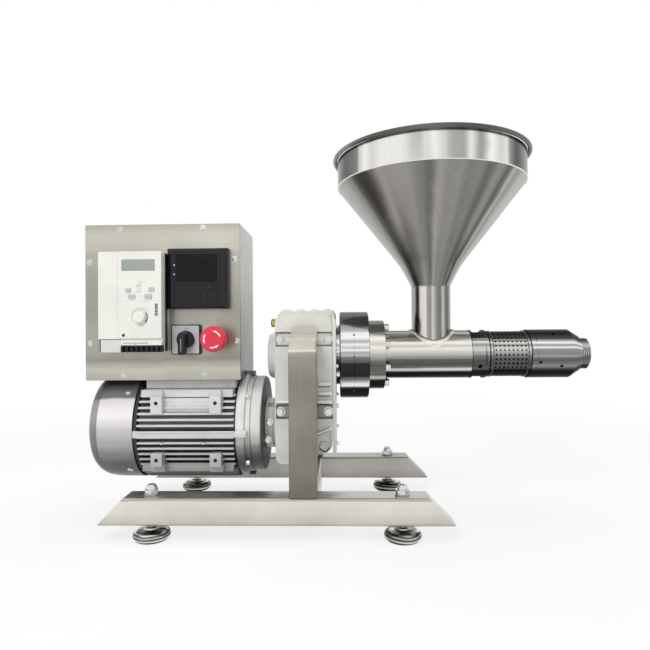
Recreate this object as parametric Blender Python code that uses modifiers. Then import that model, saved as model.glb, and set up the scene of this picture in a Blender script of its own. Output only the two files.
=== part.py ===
# Screw oil press: a geared motor turns a pressing screw inside a perforated cage, fed from a funnel.
# Metres, +Z up, +X towards the cake outlet, -Y towards the operator, origin on the floor below the middle.
import math

import bmesh
import bpy
from mathutils import Matrix, Vector

OBJECT_NAME = "screw_oil_press"

# Driving dimensions
GAP = 0.0003                # left between pieces that touch
PRESS_Z = 0.2643            # height of the pressing screw's axis
MOTOR_Z = 0.150             # height of the motor's axis
ROUND = 20                  # sides of a large turned piece
FINE_ROUND = 28             # sides of a flange
SMALL_ROUND = 12            # sides of a small one
SMOOTH_ANGLE = math.radians(35.0)

# Frame of square tube
TUBE = 0.040
TUBE_WALL = 0.002
TUBE_EDGE = 0.0035          # outside radius along the tube
FRAME_X = -0.0975           # middle of the two rails
RAIL_LENGTH = 0.520
RAIL_Y = 0.125
RAIL_Z = 0.025              # underside of the rails
RAIL_TOP = RAIL_Z + TUBE
MITRE = TUBE - 0.001        # how far a rail's end leans back
POST_X = -0.057
POST_BEND = 0.2765          # where the post's sloped head starts
POST_SLOPE = 0.017
POST_LEDGE = 0.281
POST_PLATE = 0.008          # thickness of the upright plate on the head
POST_TOP = 0.311
STRAP_Z = (0.2925, 0.1805)  # bolt rows where the posts hold the gearbox
STRAP_HEIGHT = 0.018
STRAP_PLATE = 0.005

# Levelling feet
FOOT_REACH = 0.185          # either side of the rails' middle
FOOT_RADIUS = 0.0275
FOOT_HUB = 0.0185           # height of the pad's hub
STUD_RADIUS = 0.0045
STUD_HOLE = 0.0051
STUD_TOP = 0.0745
NUT_RADIUS = 0.0110
NUT_HEIGHT = 0.0160

# Gearbox casting
GEARBOX_LEFT = -0.103
GEARBOX_RIGHT = -0.0145
GEARBOX_HALF = 0.086        # half its depth along Y
GEARBOX_BASE = 0.108
GEARBOX_TOP = 0.329
COVER_RIGHT = -0.0085
COVER_INSET = 0.002
LOBES = ((-0.0900, 0.013), (-0.0665, 0.012), (-0.0445, 0.012))
COVER_LOBE = (-0.0215, 0.013)
LOBE_HALF = 0.046
RIBS = ((-0.036, 0.2230), (-0.036, 0.2083), (-0.100, 0.1940))
RIB_THICKNESS = 0.005
RIB_HEIGHT = 0.003
POCKET_DEPTH = 0.009
PANEL_DEPTH = 0.003
BOSS_LEFT = -0.1215         # blind end of the boss behind the output shaft
CHAMBER = ((-0.097, -0.060, 0.126), (-0.026, 0.060, 0.3235))
BEARING_RADIUS = 0.0310
BEARING_WIDTH = 0.015
SHAFT_RADIUS = 0.0200
PLUG_Y = -0.030
PLUG_Z = 0.3187

# Gear train
GEAR_MODULE = 0.0025
PRESSURE_ANGLE = math.radians(20.0)
BACKLASH = 0.00035
OUTPUT_TEETH = 42
PINION_TEETH = 12
WHEEL_TEETH = 28
DRIVE_TEETH = 12
STAGE_ONE = (-0.093, -0.075)
STAGE_TWO = (-0.066, -0.034)
COUNTERSHAFT = (-0.1000, -0.0200)
COUNTERSHAFT_RADIUS = 0.0080
MOTOR_SHAFT_TIP = 0.0070

# Press
MAIN_FLANGE = (-0.0026, 0.0451)
MAIN_FLANGE_RADIUS = 0.0725
BARREL_FLANGE = (0.0454, 0.0714)
BARREL_FLANGE_RADIUS = 0.0575
CAP_SCREWS = 8
CAP_CIRCLE = 0.0495
CAP_RADIUS = 0.0060
CAP_HEIGHT = 0.008
BORE_RADIUS = 0.024
BARREL_RADIUS = 0.040
BARREL = (0.0717, 0.2132)
COLLAR = (0.2135, 0.2424)
COLLAR_RADIUS = 0.0405
WRENCH_FLAT = 0.0365
CAGE = (0.2427, 0.3087)
CAGE_RADIUS = 0.0385
CAGE_COLUMNS = 8
CAGE_ROWS = 10
CAGE_PITCH = 0.0069
CAGE_HOLE = 0.0019
HEAD = (0.3090, 0.3943)
HEAD_RADIUS = 0.0405
HEAD_SHOULDER = 0.3790
HEAD_FACE = 0.0300
HOOK_HOLE = 0.0032
NOZZLE = (0.3946, 0.4100)
NOZZLE_RADIUS = 0.0272
NOZZLE_ACROSS = 0.0245      # from the middle to a flat of the hexagon
OUTLET_RADIUS = 0.008

# Hopper of rolled sheet on the barrel's feed spout
HOPPER_X = 0.1525
FEED_RADIUS = 0.0325
FEED_WALL = 0.003
THROAT_RADIUS = 0.0225
FEED_TOP = 0.378
WELD = 0.0045
RIM_Z = 0.5926
RIM_RADIUS = 0.1600
BEAD_RADIUS = 0.0040
BAND_RADIUS = 0.1560
BAND_BASE = 0.5474
KNEE_RADIUS = 0.052
KNEE_Z = 0.4155
SHEET = 0.0018
HOPPER_ROUND = 32

# Pressing screw
SCREW_TAIL = 0.0117
SCREW_ROOT = 0.0135
SCREW_SWELL = 0.005         # how much the root grows towards the outlet
SCREW_START = 0.0060
SCREW_TIP = 0.3450
FLIGHT = (0.092, 0.306)
FLIGHT_RADIUS = 0.0234
FLIGHT_PITCH = 0.030
FLIGHT_LAND = math.radians(16.0)
FLIGHT_FOOT = math.radians(30.0)
FLIGHT_STEPS = 8            # sections in one turn

# Motor
MOTOR_RADIUS = 0.088
MOTOR_CORE = 0.0765
MOTOR_BODY = (-0.321, -0.1675)
MOTOR_SEAT = 0.214          # flat on top that carries the control box
FIN_PITCH = 0.012
FIN_THICKNESS = 0.0026
FIN_ROOT = 0.006            # how deep a fin starts in the core
SIDE_FINS = 0.054           # reach of the level fins above and below the axis
CAP_FINS = 0.042            # reach of the upright fins
PADS = ((-0.2885, 0.1945), (-0.1962, 0.1945), (-0.2885, 0.1060), (-0.1962, 0.1060))
PAD_HALF = (0.009, 0.0105)
ROTOR_RADIUS = 0.047
STATOR_BORE = 0.0486
ADAPTER = (-0.1435, -0.1033)
SHIELD_RIGHT = -0.1438
SHIELD_RADIUS = 0.0845
FAN = (-0.3720, -0.3440)
FAN_BLADES = 7
FAN_HUB = 0.020
FAN_TIP = 0.068
BLADE_HALF = 0.0016
COWL = (-0.4025, -0.3270)
COWL_WALL = 0.0015
AIR_SLOTS = 8

# Control box
BOX_LOW = Vector((-0.4100, -0.0635, 0.2280))
BOX_HIGH = Vector((-0.1600, 0.0603, 0.4780))
BOX_SHEET = 0.0015
BOX_LIP = 0.018
BOX_EDGE = 0.003
PANEL_FRONT = -0.0653
PANEL_BACK = BOX_LOW.y - GAP
DRIVE_LOW = Vector((-0.3745, -0.0970, 0.2742))
DRIVE_HIGH = Vector((-0.2745, PANEL_FRONT - GAP, 0.4300))
DRIVE_DEPTH = 0.0300
DRIVE_SPLIT = -0.3430       # joint between the drive's side strip and its cover
DRIVE_COVER_LOW = 0.2960
COVER_FRONT = -0.1005
DISPLAY = ((-0.3365, 0.3995), (-0.2848, 0.4170))
DIAL = Vector((-0.3080, COVER_FRONT, 0.3281))
DIAL_RADIUS = 0.0086
DRIVE_KEYS = (("up", -0.3105, 0.3797, 0.0040, 0.0030), ("down", -0.3105, 0.3705, 0.0040, 0.0030),
              ("local", -0.3263, 0.3695, 0.0045, 0.0030), ("menu", -0.2903, 0.3705, 0.0045, 0.0030),
              ("stop", -0.3208, 0.3596, 0.0058, 0.0034), ("start", -0.2955, 0.3598, 0.0058, 0.0034))
TERMINALS = 8
TERMINAL_PITCH = 0.0078
CONTROLLER = ((-0.2728, 0.3415), (-0.1768, 0.4365))
CONTROLLER_FRONT = -0.0800
CONTROLLER_KEYS = (("set", -0.2056, 0.3764), ("shift", -0.2132, 0.3611), ("raise", -0.1984, 0.3610))
SELECTOR = Vector((-0.2460, -0.0700, 0.2929))
SELECTOR_HALF = 0.0238
SELECTOR_CELLS = 0.021
KNOB_RADIUS = 0.0140
KNOB_REACH = 0.0240
STOP = Vector((-0.1937, -0.1158, 0.2938))
STOP_RADIUS = 0.0200
STOP_STEM = 0.0078

PARTS = None
CUTTERS = None
AXIS_TURN = {
    "X": Matrix.Rotation(math.radians(90.0), 4, "Y"),
    "Y": Matrix.Rotation(math.radians(-90.0), 4, "X"),
    "Z": Matrix.Identity(4),
}


def clear_scene():
    for item in list(bpy.data.objects):
        bpy.data.objects.remove(item, do_unlink=True)


def new_collection(name):
    collection = bpy.data.collections.new(name)
    bpy.context.scene.collection.children.link(collection)
    return collection


def look(name, colour, roughness, metallic=0.0):
    surface = bpy.data.materials.get(name)
    if surface is None:
        surface = bpy.data.materials.new(name)
        surface.use_nodes = True
        shader = surface.node_tree.nodes["Principled BSDF"]
        shader.inputs["Base Color"].default_value = (*colour, 1.0)
        shader.inputs["Roughness"].default_value = roughness
        shader.inputs["Metallic"].default_value = metallic
    return surface


def brushed_steel():
    return look("brushed_steel", (0.62, 0.60, 0.56), 0.34, 1.0)


def polished_steel():
    return look("polished_steel", (0.66, 0.65, 0.62), 0.16, 1.0)


def cast_paint():
    return look("cast_paint", (0.55, 0.56, 0.53), 0.45, 0.35)


def motor_paint():
    return look("motor_paint", (0.50, 0.52, 0.53), 0.40, 0.35)


def gear_steel():
    return look("gear_steel", (0.42, 0.41, 0.40), 0.30, 1.0)


def brass():
    return look("brass", (0.72, 0.58, 0.24), 0.30, 1.0)


def drive_plastic():
    return look("drive_plastic", (0.78, 0.78, 0.75), 0.50)


def grey_plastic():
    return look("grey_plastic", (0.40, 0.41, 0.41), 0.50)


def black_plastic():
    return look("black_plastic", (0.025, 0.025, 0.028), 0.35)


def red_plastic():
    return look("red_plastic", (0.72, 0.03, 0.06), 0.35)


def set_origin(item, point):
    """Move an object's origin to a point, such as one on its joint's axis, with its shape left in place."""
    item.data.transform(Matrix.Translation(item.location - Vector(point)))
    item.location = point


def mesh_object(name, shape, surface):
    """Make a bmesh into an object of the part, placed by its middle, with its round faces smooth."""
    bmesh.ops.recalc_face_normals(shape, faces=shape.faces)
    mesh = bpy.data.meshes.new(name)
    shape.to_mesh(mesh)
    shape.free()
    if surface is not None:
        mesh.materials.append(surface)
    mesh.shade_smooth()
    mesh.set_sharp_from_angle(angle=SMOOTH_ANGLE)
    item = bpy.data.objects.new(name, mesh)
    PARTS.objects.link(item)
    corners = [Vector(corner) for corner in item.bound_box]
    set_origin(item, (corners[0] + corners[6]) / 2.0)
    return item


def turn_about(item, centre, axis, angle):
    """Turn an object about an axis through a point, by an angle in degrees."""
    turn = Matrix.Translation(centre) @ Matrix.Rotation(math.radians(angle), 4, axis)
    item.matrix_basis = turn @ Matrix.Translation(-Vector(centre)) @ item.matrix_basis


def soften(shape, radius, segments, along=None):
    """Round the edges of a bmesh, or only those that run along one axis."""
    edges = []
    for edge in shape.edges:
        direction = (edge.verts[1].co - edge.verts[0].co).normalized()
        if along is None or abs(direction["XYZ".index(along)]) > 0.999:
            edges.append(edge)
    bmesh.ops.bevel(shape, geom=edges, offset=radius, segments=segments, profile=0.5, affect="EDGES")


def block(name, low, high, surface=None, edge=0.0, along=None, segments=2):
    """A box between two corners, with rounded edges where they are asked for."""
    shape = bmesh.new()
    bmesh.ops.create_cube(shape, size=1.0)
    size = Vector(high) - Vector(low)
    bmesh.ops.scale(shape, vec=size, verts=shape.verts)
    bmesh.ops.translate(shape, vec=Vector(low) + size / 2.0, verts=shape.verts)
    if edge > 0.0:
        soften(shape, edge, segments, along)
    return mesh_object(name, shape, surface)


def evaluated_bmesh(guide):
    """The closed mesh that a guide object makes; the guide is removed."""
    whole = bpy.data.meshes.new_from_object(guide.evaluated_get(bpy.context.evaluated_depsgraph_get()))
    bpy.data.objects.remove(guide, do_unlink=True)
    shape = bmesh.new()
    shape.from_mesh(whole)
    bmesh.ops.remove_doubles(shape, verts=shape.verts, dist=0.000001)
    return shape


def plate(name, outline, axis, low, high, surface=None, edge=0.0, along=None, segments=2):
    """Extrude an outline, given in the plane across an axis, from one place on that axis to another."""
    curve = bpy.data.curves.new(name, "CURVE")
    curve.dimensions = "2D"
    curve.fill_mode = "BOTH"
    curve.extrude = (high - low) / 2.0
    spline = curve.splines.new("POLY")
    spline.points.add(len(outline) - 1)
    spline.use_cyclic_u = True
    for point, (across, up) in zip(spline.points, outline):
        point.co = (across, up, 0.0, 1.0)
    guide = bpy.data.objects.new(name, curve)
    PARTS.objects.link(guide)
    shape = evaluated_bmesh(guide)
    bmesh.ops.dissolve_limit(shape, angle_limit=math.radians(0.2), verts=shape.verts, edges=shape.edges)
    middle = (low + high) / 2.0
    for vertex in shape.verts:
        place = [vertex.co.x, vertex.co.y]
        place.insert("XYZ".index(axis), vertex.co.z + middle)
        vertex.co = place
    shape.normal_update()
    if edge > 0.0:
        soften(shape, edge, segments, along)
    return mesh_object(name, shape, surface)


def turned(name, profile, axis, centre, surface=None, steps=ROUND, ring=False):
    """Turn a profile of (radius, height) points, top to bottom on its outer side, about an axis."""
    mesh = bpy.data.meshes.new(name)
    points = [(radius, 0.0, height) for radius, height in profile]
    edges = [(i, i + 1) for i in range(len(points) - 1)]
    if ring:
        edges.append((len(points) - 1, 0))
    mesh.from_pydata(points, edges, [])
    guide = bpy.data.objects.new(name, mesh)
    PARTS.objects.link(guide)
    screw = guide.modifiers.new("turn", "SCREW")
    screw.steps = screw.render_steps = steps
    screw.use_merge_vertices = True
    screw.merge_threshold = 0.00001
    shape = evaluated_bmesh(guide)
    shape.transform(Matrix.Translation(centre) @ AXIS_TURN[axis])
    return mesh_object(name, shape, surface)


def rod(name, radius, axis, centre, low, high, surface=None, steps=SMALL_ROUND):
    """A solid round bar about an axis through centre, from low to high along it."""
    profile = [(0.0, high), (radius, high), (radius, low), (0.0, low)]
    return turned(name, profile, axis, centre, surface, steps)


def combine(item, tool, operation):
    """Cut or join an object with another, which is kept as a hidden tool."""
    change = item.modifiers.new(tool.name, "BOOLEAN")
    change.operation = operation
    change.solver = "EXACT"
    change.object = tool
    PARTS.objects.unlink(tool)
    CUTTERS.objects.link(tool)
    tool.hide_render = True
    tool.display_type = "WIRE"


def cut(item, *tools):
    for tool in tools:
        combine(item, tool, "DIFFERENCE")


def join(item, *pieces):
    for piece in pieces:
        combine(item, piece, "UNION")


def as_one(name, tools):
    """Put tools that don't touch into one object, so that they cut or join in one step."""
    shape = bmesh.new()
    for tool in tools:
        tool.data.transform(tool.matrix_basis)
        shape.from_mesh(tool.data)
        bpy.data.objects.remove(tool, do_unlink=True)
    return mesh_object(name, shape, None)


def ride(rider, carrier):
    """Parent a piece to the one that carries it round."""
    rider.parent = carrier
    rider.matrix_parent_inverse = carrier.matrix_basis.inverted()


def arc(centre, radius, start, end, steps):
    """Points on an arc in a plane, from one angle to another in degrees."""
    points = []
    for i in range(steps + 1):
        angle = math.radians(start + (end - start) * i / steps)
        points.append((centre[0] + radius * math.cos(angle), centre[1] + radius * math.sin(angle)))
    return points


def mirrored(sign, near, far):
    """The two ends of a span on the operator's side (-1) or the far side (1), in rising order."""
    return sorted((sign * near, sign * far))


def press_axis(x=0.0):
    return Vector((x, 0.0, PRESS_Z))


def motor_axis(x=0.0):
    return Vector((x, 0.0, MOTOR_Z))


def countershaft_axis():
    """Where the countershaft lies for both gear pairs to mesh at their centre distances."""
    first = GEAR_MODULE * (DRIVE_TEETH + WHEEL_TEETH) / 2.0
    second = GEAR_MODULE * (PINION_TEETH + OUTPUT_TEETH) / 2.0
    rise = PRESS_Z - MOTOR_Z
    up = (first ** 2 - second ** 2 + rise ** 2) / (2.0 * rise)
    return Vector((0.0, math.sqrt(first ** 2 - up ** 2), MOTOR_Z + up))


# Frame: two mitred rails, a tie between them, and the posts that hold the gearbox

def rail_outline(inset):
    """Side view of a rail with mitred ends, drawn in by the wall for its inside."""
    half = RAIL_LENGTH / 2.0
    low, high = RAIL_Z + inset, RAIL_TOP - inset
    lean = inset * 2.4
    reach = half - MITRE - inset * 0.4
    return [(FRAME_X - half + lean, low), (FRAME_X + half - lean, low),
            (FRAME_X + reach, high), (FRAME_X - reach, high)]


def foot_places():
    """Each foot's end and side with its place on the floor."""
    return [(end, side, FRAME_X + x * FOOT_REACH, y * RAIL_Y)
            for side, y in (("front", -1), ("rear", 1)) for end, x in (("left", -1), ("right", 1))]


def make_rail(side, y):
    rail = plate(f"{side}_rail", rail_outline(0.0), "Y", y - TUBE / 2.0, y + TUBE / 2.0, brushed_steel(),
                 edge=TUBE_EDGE, along="X")
    inside = TUBE / 2.0 - TUBE_WALL
    cut(rail, plate(f"{side}_rail_inside", rail_outline(TUBE_WALL), "Y", y - inside, y + inside))
    studs = [rod(f"stud_hole_{end}", STUD_HOLE, "Z", (x, y, 0.0), RAIL_Z - 0.005, RAIL_TOP + 0.005)
             for end, row, x, _ in foot_places() if row == side]
    cut(rail, as_one(f"{side}_rail_stud_holes", studs))


def make_cross_tube():
    half = RAIL_Y - TUBE / 2.0 - GAP
    x = TUBE / 2.0
    tie = block("cross_tube", (POST_X - x, -half, RAIL_Z), (POST_X + x, half, RAIL_TOP), brushed_steel(),
                edge=TUBE_EDGE, along="Y")
    x -= TUBE_WALL
    cut(tie, block("cross_tube_inside", (POST_X - x, -half - 0.01, RAIL_Z + TUBE_WALL),
                   (POST_X + x, half + 0.01, RAIL_TOP - TUBE_WALL)))


def make_post(side, sign):
    """A square post with a sloped head, an upright plate and two straps bolted to the gearbox's side."""
    outer, inner, foot = RAIL_Y + TUBE / 2.0, RAIL_Y - TUBE / 2.0, RAIL_TOP + GAP
    plate_in = GEARBOX_HALF + 0.006
    plate_out = plate_in + POST_PLATE
    outline = [(outer, foot), (outer, POST_BEND), (outer - POST_SLOPE, POST_BEND + POST_SLOPE),
               (plate_out, POST_BEND + POST_SLOPE), (plate_out, POST_TOP), (plate_in, POST_TOP),
               (plate_in, POST_LEDGE), (inner, POST_LEDGE), (inner, foot)]
    half = TUBE / 2.0
    post = plate(f"{side}_post", [(sign * y, z) for y, z in outline], "X", POST_X - half, POST_X + half,
                 brushed_steel())
    near, far = mirrored(sign, inner + TUBE_WALL, outer - TUBE_WALL)
    half -= TUBE_WALL
    cut(post, block(f"{side}_post_inside", (POST_X - half, near, foot - 0.01),
                    (POST_X + half, far, POST_BEND - 0.006)))
    strap_in = GEARBOX_HALF - POCKET_DEPTH + GAP
    for row, z in zip(("upper", "lower"), STRAP_Z):
        low, high = z - STRAP_HEIGHT / 2.0, z + STRAP_HEIGHT / 2.0
        near, far = mirrored(sign, strap_in, strap_in + STRAP_PLATE)
        strap = block(f"{side}_{row}_strap", (GEARBOX_LEFT + 0.002, near, low),
                      (GEARBOX_RIGHT - 0.0005, far, high))
        near, far = mirrored(sign, strap_in + 0.001, inner + 0.001)
        web = block(f"{side}_{row}_web", (POST_X - half, near, low + 0.0005),
                    (POST_X + half, far, high - 0.0005))
        join(post, strap, web)


def make_feet():
    """Levelling feet: a turned pad with its stud, and the dome nut that locks the stud above the rail."""
    base = RAIL_TOP + GAP
    for end, side, x, y in foot_places():
        pad = turned(f"foot_{side}_{end}",
                     [(0.0, STUD_TOP), (STUD_RADIUS, STUD_TOP), (STUD_RADIUS, FOOT_HUB), (0.0100, FOOT_HUB),
                      (0.0110, 0.0150), (FOOT_RADIUS, 0.0095), (FOOT_RADIUS, 0.0030), (0.0230, 0.0),
                      (0.0, 0.0)],
                     "Z", (x, y, 0.0), polished_steel(), steps=SMALL_ROUND)
        set_origin(pad, (x, y, 0.0))
        nut = turned(f"dome_nut_{side}_{end}",
                     [(0.0, base + NUT_HEIGHT), (0.0062, base + 0.0148), (0.0074, base + 0.0120),
                      (0.0080, base + 0.0085), (NUT_RADIUS, base + 0.0070), (NUT_RADIUS, base),
                      (0.0058, base), (0.0058, base + 0.0138), (0.0, base + 0.0138)],
                     "Z", (x, y, 0.0), polished_steel(), steps=6)
        nut.data.shade_flat()


# Gearbox: a cast housing with its cover, bearings, gear train and the adapter to the motor

def gearbox_outline(left, right):
    """Side view of the casting, with its rounded shoulders and drawn-in foot."""
    low, high = GEARBOX_BASE, GEARBOX_TOP
    points = arc((right - 0.012, high - 0.012), 0.012, 0, 90, 3)
    points += arc((left + 0.012, high - 0.012), 0.012, 90, 180, 3)
    points += arc((left + 0.013, low + 0.013), 0.013, 180, 270, 3)
    points += arc((right - 0.016, low + 0.024), 0.016, 270, 360, 3)
    return points


def lobe(name, x, radius):
    """A bolt boss that stands up along the top of the casting."""
    return rod(name, radius, "Y", (x, 0.0, GEARBOX_TOP - 0.0005), -LOBE_HALF, LOBE_HALF, steps=SMALL_ROUND)


def side_ribs(side, sign):
    near, far = mirrored(sign, GEARBOX_HALF - 0.001, GEARBOX_HALF + RIB_HEIGHT)
    right, half = GEARBOX_RIGHT - 0.004, RIB_THICKNESS / 2.0
    return [block(f"{side}_rib_{number}", (x, near, z - half), (right, far, z + half))
            for number, (x, z) in enumerate(RIBS)]


def side_pockets(side, sign):
    """Recesses for the posts' straps, and the sunk panel round the casting's foot."""
    pockets = []
    near, far = mirrored(sign, GEARBOX_HALF - POCKET_DEPTH, GEARBOX_HALF + 0.01)
    half = STRAP_HEIGHT / 2.0 + 0.0022
    for row, z in zip(("upper", "lower"), STRAP_Z):
        pockets.append(block(f"{side}_{row}_pocket", (GEARBOX_LEFT + 0.0015, near, z - half),
                             (0.0, far, z + half)))
    near, far = mirrored(sign, GEARBOX_HALF - PANEL_DEPTH, GEARBOX_HALF + 0.01)
    outline = [(-0.0960, 0.1140), (-0.0200, 0.1140), (-0.0200, 0.1540), (-0.0360, 0.1480), (-0.0960, 0.1480)]
    pockets.append(plate(f"{side}_foot_panel", outline, "Y", near, far))
    return as_one(f"{side}_pockets", pockets)


def make_gearbox_housing():
    housing = plate("gearbox_housing", gearbox_outline(GEARBOX_LEFT, GEARBOX_RIGHT), "Y",
                    -GEARBOX_HALF, GEARBOX_HALF, cast_paint())
    boss = turned("rear_boss", [(0.0, -0.0990), (0.0440, -0.0990), (0.0440, -0.1050), (0.0370, -0.1190),
                                (0.0340, BOSS_LEFT), (0.0, BOSS_LEFT)], "X", press_axis())
    plug_boss = rod("plug_boss", 0.0105, "X", (0.0, PLUG_Y, PLUG_Z), GEARBOX_LEFT, GEARBOX_LEFT + 0.010)
    join(housing, boss, plug_boss, *[lobe(f"lobe_{i}", x, radius) for i, (x, radius) in enumerate(LOBES)])
    for side, sign in (("front", -1), ("rear", 1)):
        join(housing, *side_ribs(side, sign))
        cut(housing, side_pockets(side, sign))
    seat = BEARING_RADIUS + GAP
    cut(housing, block("gear_chamber", *CHAMBER),
        rod("rear_bearing_seat", seat, "X", press_axis(), -0.1165, -0.080, steps=ROUND),
        rod("front_bearing_seat", seat, "X", press_axis(), -0.040, 0.0, steps=ROUND),
        rod("input_bore", 0.0155, "X", motor_axis(), -0.120, -0.090, steps=ROUND),
        rod("countershaft_seats", COUNTERSHAFT_RADIUS + GAP, "X", countershaft_axis(),
            COUNTERSHAFT[0] - GAP, COUNTERSHAFT[1] + GAP))


def make_gearbox_cover():
    cover = plate("gearbox_cover", gearbox_outline(GEARBOX_RIGHT - 0.018, COVER_RIGHT), "Y",
                  COVER_INSET - GEARBOX_HALF, GEARBOX_HALF - COVER_INSET, cast_paint())
    join(cover, lobe("cover_lobe", *COVER_LOBE))
    cut(cover, block("cover_split", (-0.2, -0.2, 0.0), (GEARBOX_RIGHT + GAP, 0.2, 0.5)),
        rod("cover_bore", SHAFT_RADIUS + 0.0015, "X", press_axis(), -0.04, 0.02, steps=ROUND))


def make_bearings():
    for name, low in (("output_bearing_rear", -0.1160), ("output_bearing_front", -0.0300)):
        high = low + BEARING_WIDTH
        bore = SHAFT_RADIUS + 0.0005
        turned(name, [(BEARING_RADIUS, high), (BEARING_RADIUS, low), (bore, low), (bore, high)], "X",
               press_axis(), polished_steel(), ring=True)


def involute(angle):
    return math.tan(angle) - angle


def gear_outline(teeth, centre, tooth_angle):
    """Involute teeth about a centre in the YZ plane, one of them centred on tooth_angle."""
    pitch = GEAR_MODULE * teeth / 2.0
    base = pitch * math.cos(PRESSURE_ANGLE)
    half_pitch = math.pi / (2.0 * teeth) - BACKLASH / (2.0 * pitch)
    radii = (pitch - 1.25 * GEAR_MODULE, pitch + 0.78 * GEAR_MODULE)
    halves = []
    for radius in radii:
        pressure = math.acos(base / max(radius, base))
        halves.append(half_pitch + involute(PRESSURE_ANGLE) - involute(pressure))
    points = []
    for tooth in range(teeth):
        middle = tooth_angle + 2.0 * math.pi * tooth / teeth
        flank = [(radius, middle - half) for radius, half in zip(radii, halves)]
        flank += [(radius, middle + half) for radius, half in zip(reversed(radii), reversed(halves))]
        points += [(centre.y + radius * math.cos(angle), centre.z + radius * math.sin(angle))
                   for radius, angle in flank]
    return points


def gear(name, teeth, centre, tooth_angle, span, bore):
    wheel = plate(name, gear_outline(teeth, centre, tooth_angle), "X", *span, gear_steel())
    cut(wheel, rod(f"{name}_bore", bore, "X", centre, span[0] - 0.005, span[1] + 0.005, steps=ROUND))
    set_origin(wheel, centre)
    return wheel


def line_angle(start, end):
    """Direction in the YZ plane from one shaft's centre to another's."""
    return math.atan2(end.z - start.z, end.y - start.y)


def make_countershaft():
    """The middle shaft: its large wheel meshes with the motor's pinion, its own pinion with the output."""
    counter = countershaft_axis()
    shaft = rod("countershaft", COUNTERSHAFT_RADIUS, "X", counter, *COUNTERSHAFT, gear_steel())
    teeth = gear_outline(PINION_TEETH, counter, line_angle(counter, press_axis()))
    join(shaft, plate("counter_pinion_teeth", teeth, "X", STAGE_TWO[0] + 0.001, STAGE_TWO[1] - 0.001))
    set_origin(shaft, counter)
    wheel = gear("counter_wheel", WHEEL_TEETH, counter, line_angle(counter, motor_axis()), STAGE_ONE,
                 COUNTERSHAFT_RADIUS + GAP)
    ride(wheel, shaft)


def make_output_shaft():
    """Hollow-ended shaft that drives the screw's tail, with its large wheel cut on it."""
    socket, bottom, end = SCREW_TAIL + 0.0004, 0.0040, 0.0420
    output = turned("output_shaft", [(0.0, bottom), (socket, bottom), (socket, end), (SHAFT_RADIUS, end),
                                     (SHAFT_RADIUS, -0.1158), (0.0, -0.1158)],
                    "X", press_axis(), gear_steel())
    middle = line_angle(countershaft_axis(), press_axis()) + math.pi + math.pi / OUTPUT_TEETH
    teeth = gear_outline(OUTPUT_TEETH, press_axis(), middle)
    join(output, plate("output_wheel_teeth", teeth, "X", *STAGE_TWO))
    set_origin(output, press_axis())
    return output


def make_input_adapter():
    """Bell between gearbox and motor, wide where the motor's shield bolts on."""
    left, right = ADAPTER
    turned("input_adapter", [(0.0130, right), (0.0400, right), (0.0400, -0.1130), (0.0425, -0.1180),
                             (0.0500, -0.1240), (0.0790, -0.1265), (0.0790, left), (0.0130, left)],
           "X", motor_axis(), cast_paint(), ring=True)


def make_breather():
    face = GEARBOX_LEFT - GAP
    turned("breather_plug", [(0.0, face), (0.0060, face), (0.0060, -0.1060), (0.0090, -0.1062),
                             (0.0090, -0.1110), (0.0065, -0.1145), (0.0, -0.1155)],
           "X", (0.0, PLUG_Y, PLUG_Z), brass(), steps=10)


# Press: flanges, feed barrel, hopper, cage, head, nozzle and the screw inside them

def make_main_flange():
    left, right = MAIN_FLANGE
    radius, spigot = MAIN_FLANGE_RADIUS, COVER_RIGHT + GAP
    turned("main_flange", [(0.0260, right), (radius - 0.002, right), (radius, right - 0.002),
                           (radius, left + 0.0015), (radius - 0.0015, left), (0.0500, left),
                           (0.0500, spigot), (0.0260, spigot)],
           "X", press_axis(), polished_steel(), steps=FINE_ROUND, ring=True)


def make_barrel_flange():
    left, right = BARREL_FLANGE
    radius = BARREL_FLANGE_RADIUS
    flange = turned("barrel_flange", [(BORE_RADIUS, right), (radius - 0.0012, right),
                                      (radius, right - 0.0012), (radius, left), (BORE_RADIUS, left)],
                    "X", press_axis(), brushed_steel(), steps=FINE_ROUND, ring=True)
    heads = []
    for number in range(CAP_SCREWS):
        angle = 2.0 * math.pi * (number + 0.5) / CAP_SCREWS
        centre = press_axis() + Vector((0.0, CAP_CIRCLE * math.cos(angle), CAP_CIRCLE * math.sin(angle)))
        heads.append(rod(f"cap_screw_{number}", CAP_RADIUS, "X", centre, right - 0.002, right + CAP_HEIGHT,
                         steps=6))
    join(flange, as_one("cap_screws", heads))


def make_feed_barrel():
    """Barrel round the screw with a feed spout welded on as a saddle."""
    centre = (HOPPER_X, 0.0, 0.0)
    barrel = rod("feed_barrel", BARREL_RADIUS, "X", press_axis(), *BARREL, brushed_steel(), steps=ROUND)
    spout = rod("feed_spout", FEED_RADIUS, "Z", centre, PRESS_Z + 0.010, FEED_TOP - GAP, steps=ROUND)
    weld = turned("saddle_weld", [(0.0, 0.312), (FEED_RADIUS, 0.312), (FEED_RADIUS + WELD, 0.3035),
                                  (FEED_RADIUS + WELD, 0.290), (0.0, 0.290)], "Z", centre)
    join(barrel, spout, weld)
    cut(barrel, rod("feed_bore", FEED_RADIUS - FEED_WALL, "Z", centre, 0.3060, FEED_TOP + 0.02, steps=ROUND),
        rod("feed_throat", THROAT_RADIUS, "Z", centre, PRESS_Z, 0.31, steps=ROUND),
        rod("barrel_bore", BORE_RADIUS, "X", press_axis(), BARREL[0] - 0.02, BARREL[1] + 0.02, steps=ROUND))


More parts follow.
